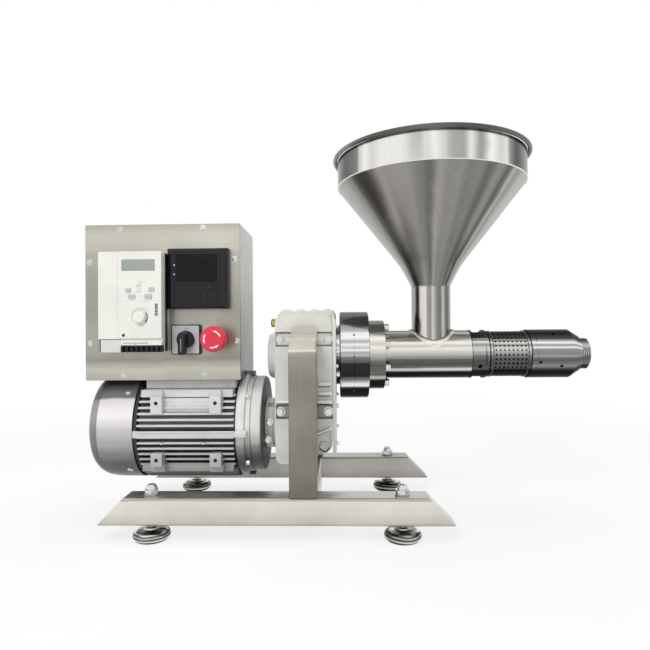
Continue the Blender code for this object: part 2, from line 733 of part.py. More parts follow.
def make_hopper():
    """A funnel of sheet: rolled rim, straight band, cone with a knee, and the neck on the feed spout."""
    bead = arc((RIM_RADIUS, RIM_Z), BEAD_RADIUS, 150, -150, 4)
    outside = bead + [(BAND_RADIUS, RIM_Z - 0.005), (BAND_RADIUS, BAND_BASE), (KNEE_RADIUS, KNEE_Z),
                      (FEED_RADIUS, FEED_TOP)]
    inside = [(FEED_RADIUS - SHEET, FEED_TOP), (KNEE_RADIUS - SHEET, KNEE_Z + 0.001),
              (BAND_RADIUS - SHEET, BAND_BASE + 0.001), (BAND_RADIUS - SHEET, RIM_Z)]
    turned("hopper", outside + inside, "Z", (HOPPER_X, 0.0, 0.0), polished_steel(),
           steps=HOPPER_ROUND, ring=True)


def radial_hole(name, radius, x, angle, floor, steps=6):
    """A cutter that points out from the press axis at an angle from upright, towards the operator."""
    hole = rod(name, radius, "Z", press_axis(x), floor, BARREL_RADIUS + 0.010, steps=steps)
    turn_about(hole, press_axis(x), "X", angle)
    return hole


def facet_angle(share):
    """An angle on a large turned piece that falls in the middle of a facet."""
    return 360.0 * (round(share * ROUND) + 0.5) / ROUND


def make_cage_collar():
    """Union collar between barrel and cage, with wrench flats and hook-spanner holes."""
    left, right = COLLAR
    radius = COLLAR_RADIUS
    collar = turned("cage_collar", [(BORE_RADIUS, right), (radius - 0.003, right), (radius, right - 0.003),
                                    (radius, left), (BORE_RADIUS, left)],
                    "X", press_axis(), polished_steel(), ring=True)
    for number in range(4):
        slab = block(f"wrench_flat_{number}", (left + 0.004, -0.06, PRESS_Z + WRENCH_FLAT),
                     (right - 0.0015, 0.06, PRESS_Z + WRENCH_FLAT + 0.02))
        turn_about(slab, press_axis(), "X", 90.0 * number)
        cut(collar, slab)
    for number in range(4):
        cut(collar, radial_hole(f"hook_hole_{number}", HOOK_HOLE, (left + right) / 2.0 - 0.002,
                                facet_angle(0.1 + 0.25 * number), BORE_RADIUS + 0.009))


def make_press_cage():
    """Drilled tube that lets the oil out: rows of small holes round the screw."""
    left, right = CAGE
    cage = turned("press_cage", [(BORE_RADIUS, right), (CAGE_RADIUS, right), (CAGE_RADIUS, left),
                                 (BORE_RADIUS, left)],
                  "X", press_axis(), brushed_steel(), ring=True)
    first = (left + right - CAGE_PITCH * (CAGE_COLUMNS - 1)) / 2.0
    drills = [radial_hole("drill", CAGE_HOLE, first + column * CAGE_PITCH, facet_angle(row / CAGE_ROWS),
                          BORE_RADIUS - 0.003, steps=4)
              for column in range(CAGE_COLUMNS) for row in range(CAGE_ROWS)]
    cut(cage, as_one("cage_drills", drills))


def make_press_head():
    """Head that closes the cage and narrows round the screw's tip to the cake outlet."""
    left, right = HEAD
    head = turned("press_head", [(OUTLET_RADIUS, right), (HEAD_FACE, right), (HEAD_RADIUS, HEAD_SHOULDER),
                                 (HEAD_RADIUS, left + 0.001), (HEAD_RADIUS - 0.001, left),
                                 (BORE_RADIUS, left), (BORE_RADIUS, 0.3260), (OUTLET_RADIUS, 0.3600)],
                  "X", press_axis(), polished_steel(), ring=True)
    for number, x in enumerate((0.3480, 0.3575)):
        cut(head, radial_hole(f"head_hook_hole_{number}", HOOK_HOLE, x, facet_angle(0.1 + 0.25 * number),
                              HEAD_RADIUS - 0.0075))


def make_nozzle():
    """Hexagon nut that screws into the head and sets the outlet."""
    left, right = NOZZLE
    radius = NOZZLE_RADIUS
    nozzle = turned("nozzle", [(OUTLET_RADIUS, right), (radius - 0.0037, right), (radius, right - 0.0035),
                               (radius, left + 0.003), (radius - 0.0022, left), (OUTLET_RADIUS, left)],
                    "X", press_axis(), polished_steel(), ring=True)
    for number in range(6):
        slab = block(f"nozzle_flat_{number}", (left + 0.004, -0.03, PRESS_Z + NOZZLE_ACROSS),
                     (right + 0.01, 0.03, PRESS_Z + NOZZLE_ACROSS + 0.02))
        turn_about(slab, press_axis(), "X", 60.0 * number)
        cut(nozzle, slab)
    set_origin(nozzle, press_axis(left))


def screw_section(x):
    """One section of the screw: a round root with a flight that turns as it goes along."""
    start, end = FLIGHT
    along = min(max(x, start), end) - start
    if x < start - FLIGHT_PITCH:
        core = SCREW_TAIL
    elif x > end:
        core = SCREW_ROOT + SCREW_SWELL - (x - end) * 0.36
    else:
        core = SCREW_ROOT + SCREW_SWELL * along / (end - start)
    crest = FLIGHT_RADIUS if start < x < end else core
    ring = [(core, -FLIGHT_FOOT), (crest, -FLIGHT_LAND), (crest, FLIGHT_LAND), (core, FLIGHT_FOOT)]
    sides = 5
    open_angle = 2.0 * (math.pi - FLIGHT_FOOT)
    ring += [(core, FLIGHT_FOOT + open_angle * (i + 1) / (sides + 1)) for i in range(sides)]
    turn = 2.0 * math.pi * along / FLIGHT_PITCH
    return [press_axis(x) + Vector((0.0, r * math.cos(a + turn), r * math.sin(a + turn))) for r, a in ring]


def make_press_screw():
    """Auger lofted through turning sections, with a plain tail at the drive and a cone at the outlet."""
    start, end = FLIGHT
    steps = int(round((end - start) / FLIGHT_PITCH * FLIGHT_STEPS))
    shoulder = start - FLIGHT_PITCH
    stations = [SCREW_START, shoulder - 0.0005, shoulder + 0.0005, start]
    stations += [start + (end - start) * (i + 0.5) / steps for i in range(steps)]
    stations += [end + 0.0005, SCREW_TIP]
    shape = bmesh.new()
    rings = [[shape.verts.new(point) for point in screw_section(x)] for x in stations]
    for ring, following in zip(rings, rings[1:]):
        count = len(ring)
        for i in range(count):
            shape.faces.new((ring[i], ring[(i + 1) % count], following[(i + 1) % count], following[i]))
    shape.faces.new(rings[0])
    shape.faces.new(rings[-1])
    screw = mesh_object("press_screw", shape, polished_steel())
    set_origin(screw, press_axis())
    return screw


# Motor: finned body, end shields, rotor, fan and fan cover

def cooling_fins(left, right):
    """Thin plates that start inside the core: level ones on both sides, upright ones above and below."""
    plates = []
    half = FIN_THICKNESS / 2.0
    for reach, upright in ((SIDE_FINS, False), (CAP_FINS, True)):
        for number in range(int(round(2.0 * reach / FIN_PITCH)) + 1):
            middle = number * FIN_PITCH - reach
            across = (middle - half, middle + half)
            near = math.sqrt((MOTOR_CORE - FIN_ROOT) ** 2 - middle ** 2)
            far = math.sqrt(MOTOR_RADIUS ** 2 - middle ** 2)
            for sign in (-1, 1):
                out = mirrored(sign, near, far)
                ys, zs = (across, out) if upright else (out, across)
                plates.append(block("fin", (left, ys[0], MOTOR_Z + zs[0]), (right, ys[1], MOTOR_Z + zs[1])))
    return as_one("cooling_fins", plates)


def make_motor_body():
    left, right = MOTOR_BODY
    body = rod("motor_body", MOTOR_CORE, "X", motor_axis(), left, right, motor_paint(), steps=FINE_ROUND)
    extras = []
    for side, sign in (("front", -1), ("rear", 1)):
        near, far = mirrored(sign, 0.066, MOTOR_RADIUS + 0.0005)
        for number, (x, z) in enumerate(PADS):
            extras.append(block(f"{side}_pad_{number}", (x - PAD_HALF[0], near, z - PAD_HALF[1]),
                                (x + PAD_HALF[0], far, z + PAD_HALF[1])))
        near, far = mirrored(sign, 0.070, MOTOR_RADIUS + 0.0025)
        extras.append(block(f"{side}_bar", (left + 0.002, near, 0.1405), (right - 0.001, far, 0.1515)))
    join(body, cooling_fins(left + 0.0005, right - 0.0005), as_one("motor_pads", extras))
    cut(body, block("motor_seat_cut", (left - 0.01, -0.058, MOTOR_SEAT), (right + 0.01, 0.058, 0.26)),
        rod("stator_bore", STATOR_BORE, "X", motor_axis(), left - 0.01, right + 0.01, steps=ROUND))


def box_clearance(name, left, right, depth=0.0):
    """Cutter for the flat under the control box on the motor's round ends, or on a cowl's inside below it."""
    return block(name, (left, -0.1, BOX_LOW.z - GAP - depth), (right, 0.1, 0.30))


def make_end_shields():
    left, right = MOTOR_BODY[1] + GAP, SHIELD_RIGHT
    shield = turned("drive_end_shield", [(0.0150, right), (0.0770, right), (0.0800, right - 0.002),
                                         (0.0800, right - 0.008), (0.0835, right - 0.010),
                                         (SHIELD_RADIUS, left + 0.005), (0.0830, left), (0.0150, left)],
                    "X", motor_axis(), motor_paint(), ring=True)
    cut(shield, box_clearance("drive_shield_flat", -0.2, BOX_HIGH.x + GAP))
    right, left = MOTOR_BODY[0] - GAP, MOTOR_BODY[0] - 0.0120
    shield = turned("rear_shield", [(0.0130, right), (0.0840, right), (0.0840, left + 0.002), (0.0820, left),
                                    (0.0130, left)],
                    "X", motor_axis(), motor_paint(), ring=True)
    cut(shield, box_clearance("rear_shield_flat", -0.4, -0.3, COWL_WALL + 0.002))


def make_rotor():
    rotor = turned("motor_rotor", [(0.0, -0.0745), (MOTOR_SHAFT_TIP, -0.0745), (MOTOR_SHAFT_TIP, -0.0935),
                                   (0.0120, -0.0940), (0.0120, -0.1800), (ROTOR_RADIUS, -0.1900),
                                   (ROTOR_RADIUS, -0.3000), (0.0120, -0.3100), (0.0090, -0.3340),
                                   (0.0090, -0.3800), (0.0, -0.3800)],
                   "X", motor_axis(), gear_steel(), steps=16)
    set_origin(rotor, motor_axis())
    return rotor


def make_cooling_fan():
    """Star of flat radial blades on a hub."""
    points = []
    for number in range(FAN_BLADES):
        angle = 2.0 * math.pi * number / FAN_BLADES
        for radius, half in ((FAN_HUB, BLADE_HALF), (FAN_TIP, BLADE_HALF), (FAN_TIP, -BLADE_HALF),
                             (FAN_HUB, -BLADE_HALF)):
            lean = angle - half / radius
            points.append((radius * math.cos(lean), MOTOR_Z + radius * math.sin(lean)))
        middle = angle + math.pi / FAN_BLADES
        points.append((FAN_HUB * math.cos(middle), MOTOR_Z + FAN_HUB * math.sin(middle)))
    fan = plate("cooling_fan", points, "X", *FAN, black_plastic())
    cut(fan, rod("fan_bore", 0.0094, "X", motor_axis(), FAN[0] - 0.01, FAN[1] + 0.01, steps=ROUND))
    set_origin(fan, motor_axis())
    return fan


def cowl_solid(name, inset, surface=None):
    """The fan cover's outer shape, or its hollow when drawn in by the wall, flat under the control box."""
    left, right = COWL
    right += 0.01 if inset else 0.0
    solid = turned(name, [(0.0, right), (MOTOR_RADIUS - inset, right), (MOTOR_RADIUS - inset, -0.3600),
                          (0.0850 - inset, -0.3840), (0.0790 - inset, -0.3970),
                          (0.0690 - inset, left + inset), (0.0, left + inset)],
                   "X", motor_axis(), surface)
    cut(solid, box_clearance(f"{name}_flat", left - 0.01, right + 0.01, inset))
    return solid


def make_fan_cover():
    """Pressed cowl over the fan, with air slots in its end."""
    cover = cowl_solid("fan_cover", 0.0, motor_paint())
    slots = []
    for number in range(AIR_SLOTS):
        slot = block(f"air_slot_{number}", (COWL[0] - 0.01, -0.0035, MOTOR_Z + 0.022),
                     (COWL[0] + 0.01, 0.0035, MOTOR_Z + 0.058))
        turn_about(slot, motor_axis(), "X", 360.0 * number / AIR_SLOTS)
        slots.append(slot)
    cut(cover, as_one("air_slots", slots), cowl_solid("cowl_hollow", COWL_WALL))


# Control box on the motor's seat, with the drive, the temperature controller and the switches

def make_control_box():
    block("box_pedestal", (-0.3165, -0.0560, MOTOR_SEAT + GAP), (-0.1690, 0.0560, BOX_LOW.z - GAP),
          motor_paint(), edge=BOX_EDGE, along="Z")
    shell = block("control_box", BOX_LOW, BOX_HIGH, brushed_steel(), edge=BOX_EDGE, along="Y")
    wall = Vector((BOX_SHEET, BOX_SHEET, BOX_SHEET))
    lip = Vector((BOX_LIP, 0.0, BOX_LIP))
    low, high = BOX_LOW + lip, BOX_HIGH - lip
    cut(shell, block("box_inside", BOX_LOW + wall, BOX_HIGH - wall),
        block("box_window", (low.x, BOX_LOW.y - 0.01, low.z), (high.x, BOX_LOW.y + 0.02, high.z)))


def make_front_panel():
    inset = 0.0005
    panel = block("front_panel", (BOX_LOW.x + inset, PANEL_FRONT, BOX_LOW.z + inset),
                  (BOX_HIGH.x - inset, PANEL_BACK, BOX_HIGH.z - inset), brushed_steel(),
                  edge=BOX_EDGE, along="Y")
    front, back = PANEL_FRONT - 0.01, BOX_LOW.y + 0.01
    (left, low), (right, high) = CONTROLLER
    windows = [block("drive_window", (DRIVE_LOW.x + 0.0012, front, DRIVE_LOW.z + 0.0010),
                     (DRIVE_HIGH.x - 0.0011, back, DRIVE_HIGH.z - 0.0012)),
               block("controller_window", (left + 0.0018, front, low + 0.0025),
                     (right - 0.0022, back, high - 0.0025)),
               rod("selector_hole", 0.0110, "Y", (SELECTOR.x, 0.0, SELECTOR.z), front, back, steps=ROUND),
               rod("stop_hole", 0.0113, "Y", (STOP.x, 0.0, STOP.z), front, back, steps=ROUND)]
    cut(panel, as_one("panel_windows", windows))


def key_cap(name, place, half_x, half_z, back, surface):
    """A push key whose front face is at its place, with its origin there."""
    x, front, z = place
    cap = block(name, (x - half_x, front, z - half_z), (x + half_x, back, z + half_z), surface)
    set_origin(cap, place)


def make_drive():
    """Compact inverter let into the panel, with a terminal recess below its cover."""
    body = block("drive_body", DRIVE_LOW, DRIVE_HIGH, drive_plastic(), edge=0.002, along="Y")
    join(body, block("drive_back", (DRIVE_LOW.x + 0.0020, PANEL_FRONT - 0.002, DRIVE_LOW.z + 0.0018),
                     (DRIVE_HIGH.x - 0.0020, DRIVE_DEPTH, DRIVE_HIGH.z - 0.0020)))
    recess_back = -0.0850
    cut(body, block("terminal_recess", (-0.3395, -0.11, 0.2730), (-0.2700, recess_back, 0.2905)),
        block("drive_seam", (DRIVE_SPLIT - 0.0006, -0.11, 0.2910), (DRIVE_SPLIT + 0.0006, -0.0950, 0.44)))
    terminals = block("terminal_block", (-0.3390, -0.0985, 0.2745), (-0.2760, recess_back - GAP, 0.2845),
                      black_plastic())
    slots = []
    for number in range(TERMINALS):
        x = -0.3360 + number * TERMINAL_PITCH
        slots.append(block(f"comb_{number}", (x, -0.11, 0.27), (x + 0.0040, -0.0930, 0.2830)))
    cut(terminals, as_one("terminal_slots", slots))


def make_drive_cover():
    """The drive's removable cover with its display recess, keys and dial."""
    back = DRIVE_LOW.y - GAP
    cover = block("drive_cover", (DRIVE_SPLIT + 0.0012, COVER_FRONT, DRIVE_COVER_LOW),
                  (DRIVE_HIGH.x - 0.0006, back, DRIVE_HIGH.z - 0.0006), drive_plastic(),
                  edge=0.002, along="Y")
    (left, low), (right, high) = DISPLAY
    cut(cover, block("display_recess", (left, -0.11, low), (right, COVER_FRONT + 0.0015, high)),
        rod("dial_recess", DIAL_RADIUS + 0.0046, "Y", DIAL, -0.01, 0.0015, steps=ROUND))
    openings = []
    for name, x, z, half_x, half_z in DRIVE_KEYS:
        openings.append(block(f"{name}_opening", (x - half_x - GAP, -0.12, z - half_z - GAP),
                              (x + half_x + GAP, -0.09, z + half_z + GAP)))
        key_cap(f"drive_key_{name}", (x, COVER_FRONT - 0.0012, z), half_x, half_z, back - 0.0008,
                grey_plastic())
    cut(cover, as_one("key_openings", openings))
    dial = turned("drive_dial", [(0.0, 0.0012), (DIAL_RADIUS, 0.0012), (DIAL_RADIUS - 0.0004, -0.0050),
                                 (DIAL_RADIUS - 0.0016, -0.0060), (0.0, -0.0060)],
                  "Y", DIAL, drive_plastic())
    join(dial, block("dial_pointer", DIAL + Vector((-0.0008, -0.0066, -0.0078)),
                     DIAL + Vector((0.0008, -0.0050, 0.0))))
    set_origin(dial, DIAL)


def make_controller():
    """Temperature controller: bezel, display window and three keys, with its case behind the panel."""
    front, back = CONTROLLER_FRONT, PANEL_FRONT - GAP
    (left, low), (right, high) = CONTROLLER
    body = block("temperature_controller", (left, front, low), (right, back, high), black_plastic(),
                 edge=0.002, along="Y")
    join(body, block("controller_back", (left + 0.0023, back - 0.002, low + 0.0030),
                     (right - 0.0027, 0.0050, high - 0.0030)))
    openings = [block("display_window", (left + 0.0148, front - 0.01, low + 0.0405),
                      (right - 0.0162, front + 0.0012, high - 0.0105))]
    half_x, half_z = 0.0041, 0.0026
    for name, x, z in CONTROLLER_KEYS:
        openings.append(block(f"{name}_pocket", (x - half_x - 0.0004, front - 0.01, z - half_z - 0.0004),
                              (x + half_x + 0.0004, front + 0.0030, z + half_z + 0.0004)))
        key_cap(f"controller_key_{name}", (x, front - 0.0008, z), half_x, half_z, front + 0.0018,
                black_plastic())
    cut(body, as_one("controller_pockets", openings))


def make_selector():
    """Cam switch: square escutcheon with its cells behind the panel, and a pistol-grip knob."""
    x, front, z = SELECTOR
    half, cell = SELECTOR_HALF, SELECTOR_CELLS
    body = block("selector_body", (x - half, front, z - half), (x + half, PANEL_FRONT - GAP, z + half),
                 black_plastic(), edge=0.003, along="Y")
    stem = rod("selector_stem", 0.0105, "Y", (x, 0.0, z), PANEL_FRONT - 0.002, -0.0560, steps=ROUND)
    cells = block("selector_cells", (x - cell, -0.0580, z - cell), (x + cell, -0.0200, z + cell))
    join(body, stem, cells)
    cut(body, rod("selector_seat", 0.0042, "Y", (x, 0.0, z), -0.09, -0.0600))
    rim = arc((x, z), KNOB_RADIUS, -28, 208, 10)
    knob = plate("selector_knob", rim + [(x - 0.0085, z - KNOB_REACH), (x + 0.0055, z - KNOB_REACH)], "Y",
                 front - 0.0010, front - 0.0007, black_plastic())
    grip = [(x - 0.0075, z - KNOB_REACH + 0.0005), (x + 0.0045, z - KNOB_REACH + 0.0005),
            (x + 0.0060, z + 0.0080), (x, z + 0.0125), (x - 0.0070, z + 0.0090)]
    join(knob, plate("selector_grip", grip, "Y", front - 0.0250, front - 0.0008),
         rod("selector_shaft", 0.0038, "Y", (x, 0.0, z), front - 0.002, -0.0610))
    set_origin(knob, SELECTOR)


def make_stop_button():
    """Emergency stop: threaded collar, a stem that is pushed in, and the mushroom that twists on it."""
    x, front, z = STOP
    centre = (x, 0.0, z)
    bore, thread, flange = STOP_STEM + 0.0004, 0.0109, 0.0150
    seat = PANEL_FRONT - GAP
    turned("stop_collar", [(bore, -0.0760), (0.0135, -0.0760), (flange, -0.0730), (flange, seat),
                           (thread, seat), (thread, 0.0), (bore, 0.0)],
           "Y", centre, black_plastic(), steps=16, ring=True)
    stem = rod("stop_stem", STOP_STEM, "Y", centre, -0.0950, -0.0100, red_plastic(), steps=16)
    set_origin(stem, STOP)
    button = turned("stop_button", [(0.0, -0.0953), (0.0115, -0.0953), (0.0130, -0.0985), (0.0185, -0.1020),
                                    (STOP_RADIUS, -0.1050), (STOP_RADIUS - 0.0003, -0.1095),
                                    (STOP_RADIUS - 0.0025, -0.1130), (0.0120, -0.1150), (0.0, front)],
                    "Y", centre, red_plastic(), steps=16)
    set_origin(button, STOP)
    ride(button, stem)


def make_frame():
    for side, sign in (("front", -1), ("rear", 1)):
        make_rail(side, sign * RAIL_Y)
        make_post(side, sign)
    make_cross_tube()
    make_feet()


def make_gearbox():
    make_gearbox_housing()
    make_gearbox_cover()
    make_bearings()
    make_input_adapter()
    make_breather()
    make_countershaft()
    ride(make_press_screw(), make_output_shaft())


def make_press():
    make_main_flange()
    make_barrel_flange()
    make_feed_barrel()
    make_hopper()
    make_cage_collar()
    make_press_cage()
    make_press_head()
    make_nozzle()


def make_motor():
    make_motor_body()
    make_end_shields()
    make_fan_cover()
    rotor = make_rotor()
    ride(make_cooling_fan(), rotor)
    towards_press = line_angle(motor_axis(), countershaft_axis()) + math.pi / DRIVE_TEETH
    pinion = gear("drive_pinion", DRIVE_TEETH, motor_axis(), towards_press, STAGE_ONE, MOTOR_SHAFT_TIP + GAP)
    ride(pinion, rotor)


def make_controls():
    make_control_box()
    make_front_panel()
    make_drive()
    make_drive_cover()
    make_controller()
    make_selector()
    make_stop_button()


def build():
    global PARTS, CUTTERS
    clear_scene()
    PARTS = new_collection(OBJECT_NAME)
    CUTTERS = new_collection("cutters")
    make_frame()
    make_gearbox()
    make_press()
    make_motor()
    make_controls()


build()
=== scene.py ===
"""Looks of the screw oil press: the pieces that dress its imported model, their finishes and the studio."""

import logging
import math
from collections.abc import Callable, Sequence
from dataclasses import dataclass
from enum import Enum

import bmesh
import bpy
from mathutils import Euler, Matrix, Vector


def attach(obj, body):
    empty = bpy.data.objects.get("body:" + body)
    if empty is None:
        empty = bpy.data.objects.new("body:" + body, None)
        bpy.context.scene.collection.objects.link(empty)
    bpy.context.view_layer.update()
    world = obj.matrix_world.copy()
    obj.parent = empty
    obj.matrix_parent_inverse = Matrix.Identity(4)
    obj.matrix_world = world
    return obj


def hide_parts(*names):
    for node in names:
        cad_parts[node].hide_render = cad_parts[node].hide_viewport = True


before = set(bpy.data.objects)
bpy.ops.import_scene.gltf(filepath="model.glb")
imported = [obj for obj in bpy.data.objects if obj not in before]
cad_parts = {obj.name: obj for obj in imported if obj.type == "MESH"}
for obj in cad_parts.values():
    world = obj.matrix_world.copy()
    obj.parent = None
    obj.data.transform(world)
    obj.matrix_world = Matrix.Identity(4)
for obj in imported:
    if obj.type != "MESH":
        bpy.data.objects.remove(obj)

log = logging.getLogger("oil_press")
Point = tuple[float, float, float]
Profile = Sequence[tuple[float, float]]
EdgeTest = Callable[[Vector, Vector], bool]
Item = bpy.types.Object
Stops = tuple[tuple[float, float], ...]

PRESS = (0.0, 0.0, 0.2643)
MOTOR = (0.0, 0.0, 0.15)
HOPPER = (0.1525, 0.0, 0.0)
STRAPS = (0.2925, 0.1805)
RAIL_MIDDLE = -0.0975
RAIL_Y = 0.125
FOOT_REACH = 0.185
ORIGIN = (0.0, 0.0, 0.0)
TINY = 0.000001


class Axis(Enum):
    """The way a turned piece's own axis points, as the turn that brings it there from upright."""

    X = (0.0, math.pi / 2.0, 0.0)
    Y = (-math.pi / 2.0, 0.0, 0.0)
    Z = (0.0, 0.0, 0.0)


class Side(Enum):
    """The two long sides of the machine, by the sign of Y."""

    FRONT = -1
    REAR = 1

    @property
    def label(self) -> str:
        """The side's name as the model's nodes have it."""
        return self.name.lower()

    @property
    def facing(self) -> "Facing":
        """The way a head on this side looks."""
        return Facing.OPERATOR if self is Side.FRONT else Facing.BACK


class Facing(Enum):
    """The way a fastener's head looks."""

    OPERATOR = (0.0, -1.0, 0.0)
    BACK = (0.0, 1.0, 0.0)
    OUTLET = (1.0, 0.0, 0.0)
    FAN = (-1.0, 0.0, 0.0)
    UP = (0.0, 0.0, 1.0)


# Modelling by hand

def only(item: Item) -> None:
    """Make one object the active one and the only one selected."""
    bpy.ops.object.select_all(action="DESELECT")
    item.select_set(True)
    bpy.context.view_layer.objects.active = item


def named(name: str) -> Item:
    """Name the new active object and its mesh, and put its place into its mesh.

    Args:
        name: what the object is called.

    Returns:
        The active object.
    """
    item = bpy.context.object
    item.name = item.data.name = name
    bpy.ops.object.transform_apply(location=True, rotation=True, scale=True)
    return item


def begin_edit(item: Item, kind: str = "EDGE") -> bmesh.types.BMesh:
    """Enter edit mode with nothing selected.

    Args:
        item: the object to shape.
        kind: the select mode, VERT, EDGE or FACE.

    Returns:
        The mesh that is being edited.
    """
    only(item)
    bpy.ops.object.mode_set(mode="EDIT")
    bpy.ops.mesh.select_mode(type=kind)
    bpy.ops.mesh.select_all(action="DESELECT")
    return bmesh.from_edit_mesh(item.data)


def end_edit() -> None:
    """Leave edit mode."""
    bpy.ops.object.mode_set(mode="OBJECT")


def pick_edges(item: Item, test: EdgeTest) -> None:
    """Enter edit mode and select the edges whose ends pass a test."""
    shape = begin_edit(item, "EDGE")
    for edge in shape.edges:
        edge.select_set(test(edge.verts[0].co, edge.verts[1].co))
    bmesh.update_edit_mesh(item.data)


def pick_faces(item: Item, way: Point) -> None:
    """Enter edit mode and select the faces that look one way."""
    shape = begin_edit(item, "FACE")
    for face in shape.faces:
        face.select_set(face.normal.dot(Vector(way)) > 0.9)
    bmesh.update_edit_mesh(item.data)


def round_edges(item: Item, width: float, segments: int, test: EdgeTest) -> None:
    """Bevel the edges whose ends pass a test.

    Args:
        item: the object to shape.
        width: size of the rounding.
        segments: steps across it.
        test: takes the two ends of an edge.
    """
    pick_edges(item, test)
    bpy.ops.mesh.bevel(offset=width, segments=segments, profile=0.5, affect="EDGES")
    end_edit()


def move_points(item: Item, test: Callable[[Vector], bool], offset: Point) -> None:
    """Move the corners that pass a test.

    Args:
        item: the object to shape.
        test: takes a corner's place.
        offset: how far they go.
    """
    shape = begin_edit(item, "VERT")
    for corner in shape.verts:
        corner.select_set(test(corner.co))
    bmesh.update_edit_mesh(item.data)
    bpy.ops.transform.translate(value=offset)
    end_edit()


def along(axis: int) -> EdgeTest:
    """A test for edges that run along an axis, 0 for X, 1 for Y and 2 for Z."""
    def test(a: Vector, b: Vector) -> bool:
        """Whether the edge runs along the axis."""
        way = b - a
        return way.length > 0.0 and abs(way[axis]) > 0.999 * way.length
    return test


def block(name: str, low: Point, high: Point) -> Item:
    """A cube brought to its size and place, as the start of a piece.

    Args:
        name: what the object is called.
        low: its lowest corner.
        high: its highest corner.

    Returns:
        The new object.
    """
    bpy.ops.object.select_all(action="DESELECT")
    size = Vector(high) - Vector(low)
    bpy.ops.mesh.primitive_cube_add(size=1.0, location=Vector(low) + size / 2.0, scale=size)
    return named(name)


def side_block(name: str, sign: int, low: Point, high: Point) -> Item:
    """A block on one side of the middle plane; its Y values are distances from that plane."""
    near, far = sorted((sign * low[1], sign * high[1]))
    return block(name, (low[0], near, low[2]), (high[0], far, high[2]))


def mm(*values: float) -> list[tuple[float, float]]:
    """Pairs of lengths in metres, from millimetres: in a profile, the radius and height of each step."""
    return [(round(values[n] / 1000, 7), round(values[n + 1] / 1000, 7)) for n in range(0, len(values), 2)]


def turned(name: str, profile: Profile, axis: Axis, centre: Point, sides: int = 72, ring: bool = False) -> Item:
    """Shape a round piece from a circle that is extruded and scaled along a profile.

    Args:
        name: what the object is called.
        profile: radius and height of each step along the axis.
        axis: the way the piece's axis points.
        centre: a point on that axis, from which the heights count.
        sides: corners of the circle.
        ring: whether the profile closes on itself.

    Returns:
        The new object.
    """
    points = [(max(radius, TINY), height) for radius, height in profile]
    if ring:
        points.append(points[0])
    bpy.ops.object.select_all(action="DESELECT")
    radius, height = points[0]
    bpy.ops.mesh.primitive_circle_add(vertices=sides, radius=radius, location=(0.0, 0.0, height))
    item = named(name)
    bpy.ops.object.mode_set(mode="EDIT")
    bpy.ops.mesh.select_mode(type="VERT")
    bpy.ops.mesh.select_all(action="SELECT")
    for wide, high in points[1:]:
        bpy.ops.mesh.extrude_edges_move(TRANSFORM_OT_translate={"value": (0.0, 0.0, high - height)})
        ratio = wide / radius
        bpy.ops.transform.resize(value=(ratio, ratio, 1.0), center_override=ORIGIN)
        radius, height = wide, high
    bpy.ops.mesh.select_all(action="SELECT")
    bpy.ops.mesh.remove_doubles(threshold=0.000005)
    bpy.ops.mesh.normals_make_consistent(inside=False)
    end_edit()
    item.rotation_euler = Euler(axis.value)
    item.location = centre
    return named(name)


def rod(name: str, radius: float, axis: Axis, centre: Point, low: float, high: float, sides: int = 32) -> Item:
    """A plain round bar from low to high along its axis, as a start or a drill."""
    return turned(name, [(0.0, low), (radius, low), (radius, high), (0.0, high)], axis, centre, sides)


def change(item: Item, kind: str, **settings: object) -> Item:
    """Put a modifier on an object and apply it.

    Args:
        item: the object to change.
        kind: the modifier's type.
        settings: its settings.

    Returns:
        The same object.
    """
    only(item)
    step = item.modifiers.new(kind.lower(), kind)
    for key, value in settings.items():
        setattr(step, key, value)
    bpy.ops.object.modifier_apply(modifier=step.name)
    return item


def combine(item: Item, tool: Item, operation: str = "DIFFERENCE", crossing: bool = False) -> Item:
    """Cut or intersect an object with a tool, which is used up and may cross itself."""
    change(item, "BOOLEAN", operation=operation, solver="EXACT", use_self=crossing, object=tool)
    bpy.data.objects.remove(tool, do_unlink=True)
    return item


def cut(item: Item, *tools: Item) -> Item:
    """Cut tools out of an object; tools that don't touch each other may be joined first."""
    for tool in tools:
        combine(item, tool)
    return item


def joined(name: str, items: Sequence[Item]) -> Item:
    """Put objects into one.

    Args:
        name: what the joined object is called.
        items: the objects, of which the first is kept.

    Returns:
        The joined object.
    """
    only(items[0])
    for item in items:
        item.select_set(True)
    bpy.ops.object.join()
    return named(name)


def spread(pattern: Item, places: Sequence[Matrix], name: str) -> Item:
    """Copy a modelled piece to several places, as one object, and use the pattern up.

    Args:
        pattern: the piece that repeats, modelled at the world's origin.
        places: where each copy goes.
        name: what the whole is called.

    Returns:
        The object with all the copies.
    """
    copies = []
    for place in places:
        item = pattern.copy()
        item.data = pattern.data.copy()
        bpy.context.scene.collection.objects.link(item)
        item.data.transform(place)
        copies.append(item)
    bpy.data.objects.remove(pattern, do_unlink=True)
    return joined(name, copies)


def looking(place: Point, facing: Facing, turn: float = 0.0) -> Matrix:
    """The place of a fastener whose head looks one way, turned about itself by degrees."""
    way = Vector((0.0, 0.0, 1.0)).rotation_difference(Vector(facing.value)).to_matrix().to_4x4()
    return Matrix.Translation(place) @ way @ Matrix.Rotation(math.radians(turn), 4, "Z")


def about(centre: Point, axis: str, angle: float) -> Matrix:
    """A turn about a line through a point, in degrees."""
    middle = Vector(centre)
    return Matrix.Translation(middle) @ Matrix.Rotation(math.radians(angle), 4, axis) @ Matrix.Translation(-middle)


